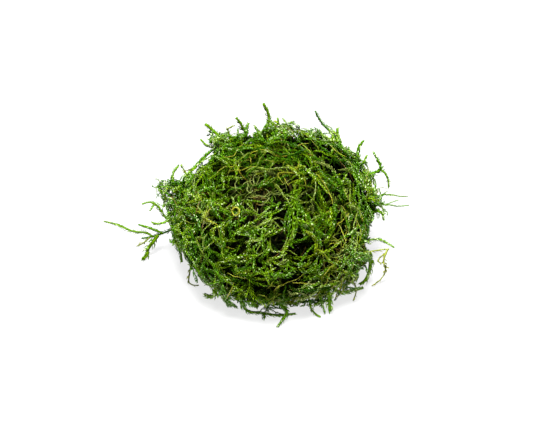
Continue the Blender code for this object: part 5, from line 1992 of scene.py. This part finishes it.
# %% [markdown]
# Outside the clump a shoot holds its leaves close, so it is a fat round cord thickly set with short leaves.
# A stray whose name goes on from another's is a branch of it. The others start with a root inside the clump.

# %% The strays' pieces
ROOT_AIM = np.array([0.0, 0.0, 16.0])
ROOT_LENGTH = 4.0
TWIG_SHARE = 0.8
LEAFY_SCATTER = 0.03
STEM_SCATTER = 0.008
CORD_SHARE = 0.46
CORD_SPACING = 0.8
CORD_SIDES = 5
CORD_NARROWING = 0.25
CORD_PAINTED_LIGHT = 0.5
CORD_SPREAD = 1.1
CORD_GAP = 0.3
CORD_LEAF = 1.6


def stray_shoots(name):
    """The bundle of one stray shoot and its twig, on the routes that its solid has."""
    girth, look, points = STRAYS[name]
    points = np.array(points, dtype=float)
    is_branch = any(name.startswith(other + "_") for other in STRAYS)
    if not is_branch:
        root = points[0] + unit(ROOT_AIM - points[0]) * ROOT_LENGTH
        points = np.concatenate([[root], points])
    routes = [smooth_route(points)]
    girths = [girth]
    if name in TWIGS:
        routes.append(smooth_route(np.array(TWIGS[name], dtype=float)))
        girths.append(girth * TWIG_SHARE)
    tone, fresh = STRAY_LOOKS[look]
    tone = tone + chance.normal(0, LEAFY_SCATTER if tone < BARE_FROM else STEM_SCATTER)
    return bundled(routes, girths, [tone] * len(routes), [fresh] * len(routes))


def cord_shapes(shoots):
    """The shapes of a stray shoot: a round, fat cord with short leaves, or a bare stem."""
    if shoots.tone[0] >= BARE_FROM:
        return bare_stem_shapes(shoots)
    cord = skins_on(shoots, CORD_SHARE, CORD_SPACING, CORD_SIDES, CORD_NARROWING, CORD_PAINTED_LIGHT)
    return [cord, leaves_on(shoots, CORD_SPREAD, CORD_GAP, CORD_LEAF)]


for name in STRAYS:
    look = STRAYS[name][1]
    make_piece(name + "_growth", cord_shapes(stray_shoots(name)), STRAY_SLOTS[look], name)
print("the whole clump:", sum(len(piece.data.polygons) for piece in made_pieces), "triangles")

# %% [markdown]
# The floor is a wide pale sheet. Around a photographer's white table the ground is nearly as bright as the
# lamps, so most of the floor's whiteness is a glow of its own, which also lights the foot of the clump.
# The light is plain: a white room, and one square lamp above and a little in front, which draws bright upper
# edges on the shoots and lets the gaps go dark.

# %% Floor and light
FLOOR_SIZE = 6
FLOOR_GLOW = 0.74
FLOOR_SHADE = 0.18
FLOOR_ROUGHNESS = 0.8
ROOM_LIGHT = 0.4
LAMP_PLACE = (-0.05, -0.28, 0.87)
LAMP_SIZE = 0.28
LAMP_POWER = 25

bpy.ops.object.select_all(action="DESELECT")
bpy.ops.mesh.primitive_plane_add(size=FLOOR_SIZE)
floor = bpy.context.object
floor.name = "floor"
floor_finish = Finish("white floor")
floor_finish.wear(Base_Color=(FLOOR_SHADE, FLOOR_SHADE, FLOOR_SHADE, 1), Roughness=FLOOR_ROUGHNESS)
floor_finish.wear(Emission_Color=(1, 1, 1, 1), Emission_Strength=FLOOR_GLOW)
floor.data.materials.append(floor_finish.material)

world = bpy.data.worlds.new("studio")
bpy.context.scene.world = world
world.use_nodes = True
background = world.node_tree.nodes["Background"]
background.inputs["Color"].default_value = (1, 1, 1, 1)
background.inputs["Strength"].default_value = ROOM_LIGHT

lamp = bpy.data.objects.new("lamp", bpy.data.lights.new("lamp", "AREA"))
bpy.context.scene.collection.objects.link(lamp)
lamp.data.shape = "SQUARE"
lamp.data.size = LAMP_SIZE
lamp.data.energy = LAMP_POWER
lamp.location = LAMP_PLACE
lamp.rotation_mode = "QUATERNION"
lamp.rotation_quaternion = Vector([-value for value in LAMP_PLACE]).to_track_quat("-Z", "Y")
bpy.context.scene.view_settings.view_transform = "Standard"
print("the lamp stands", round(Vector(LAMP_PLACE).length, 2), "m away")
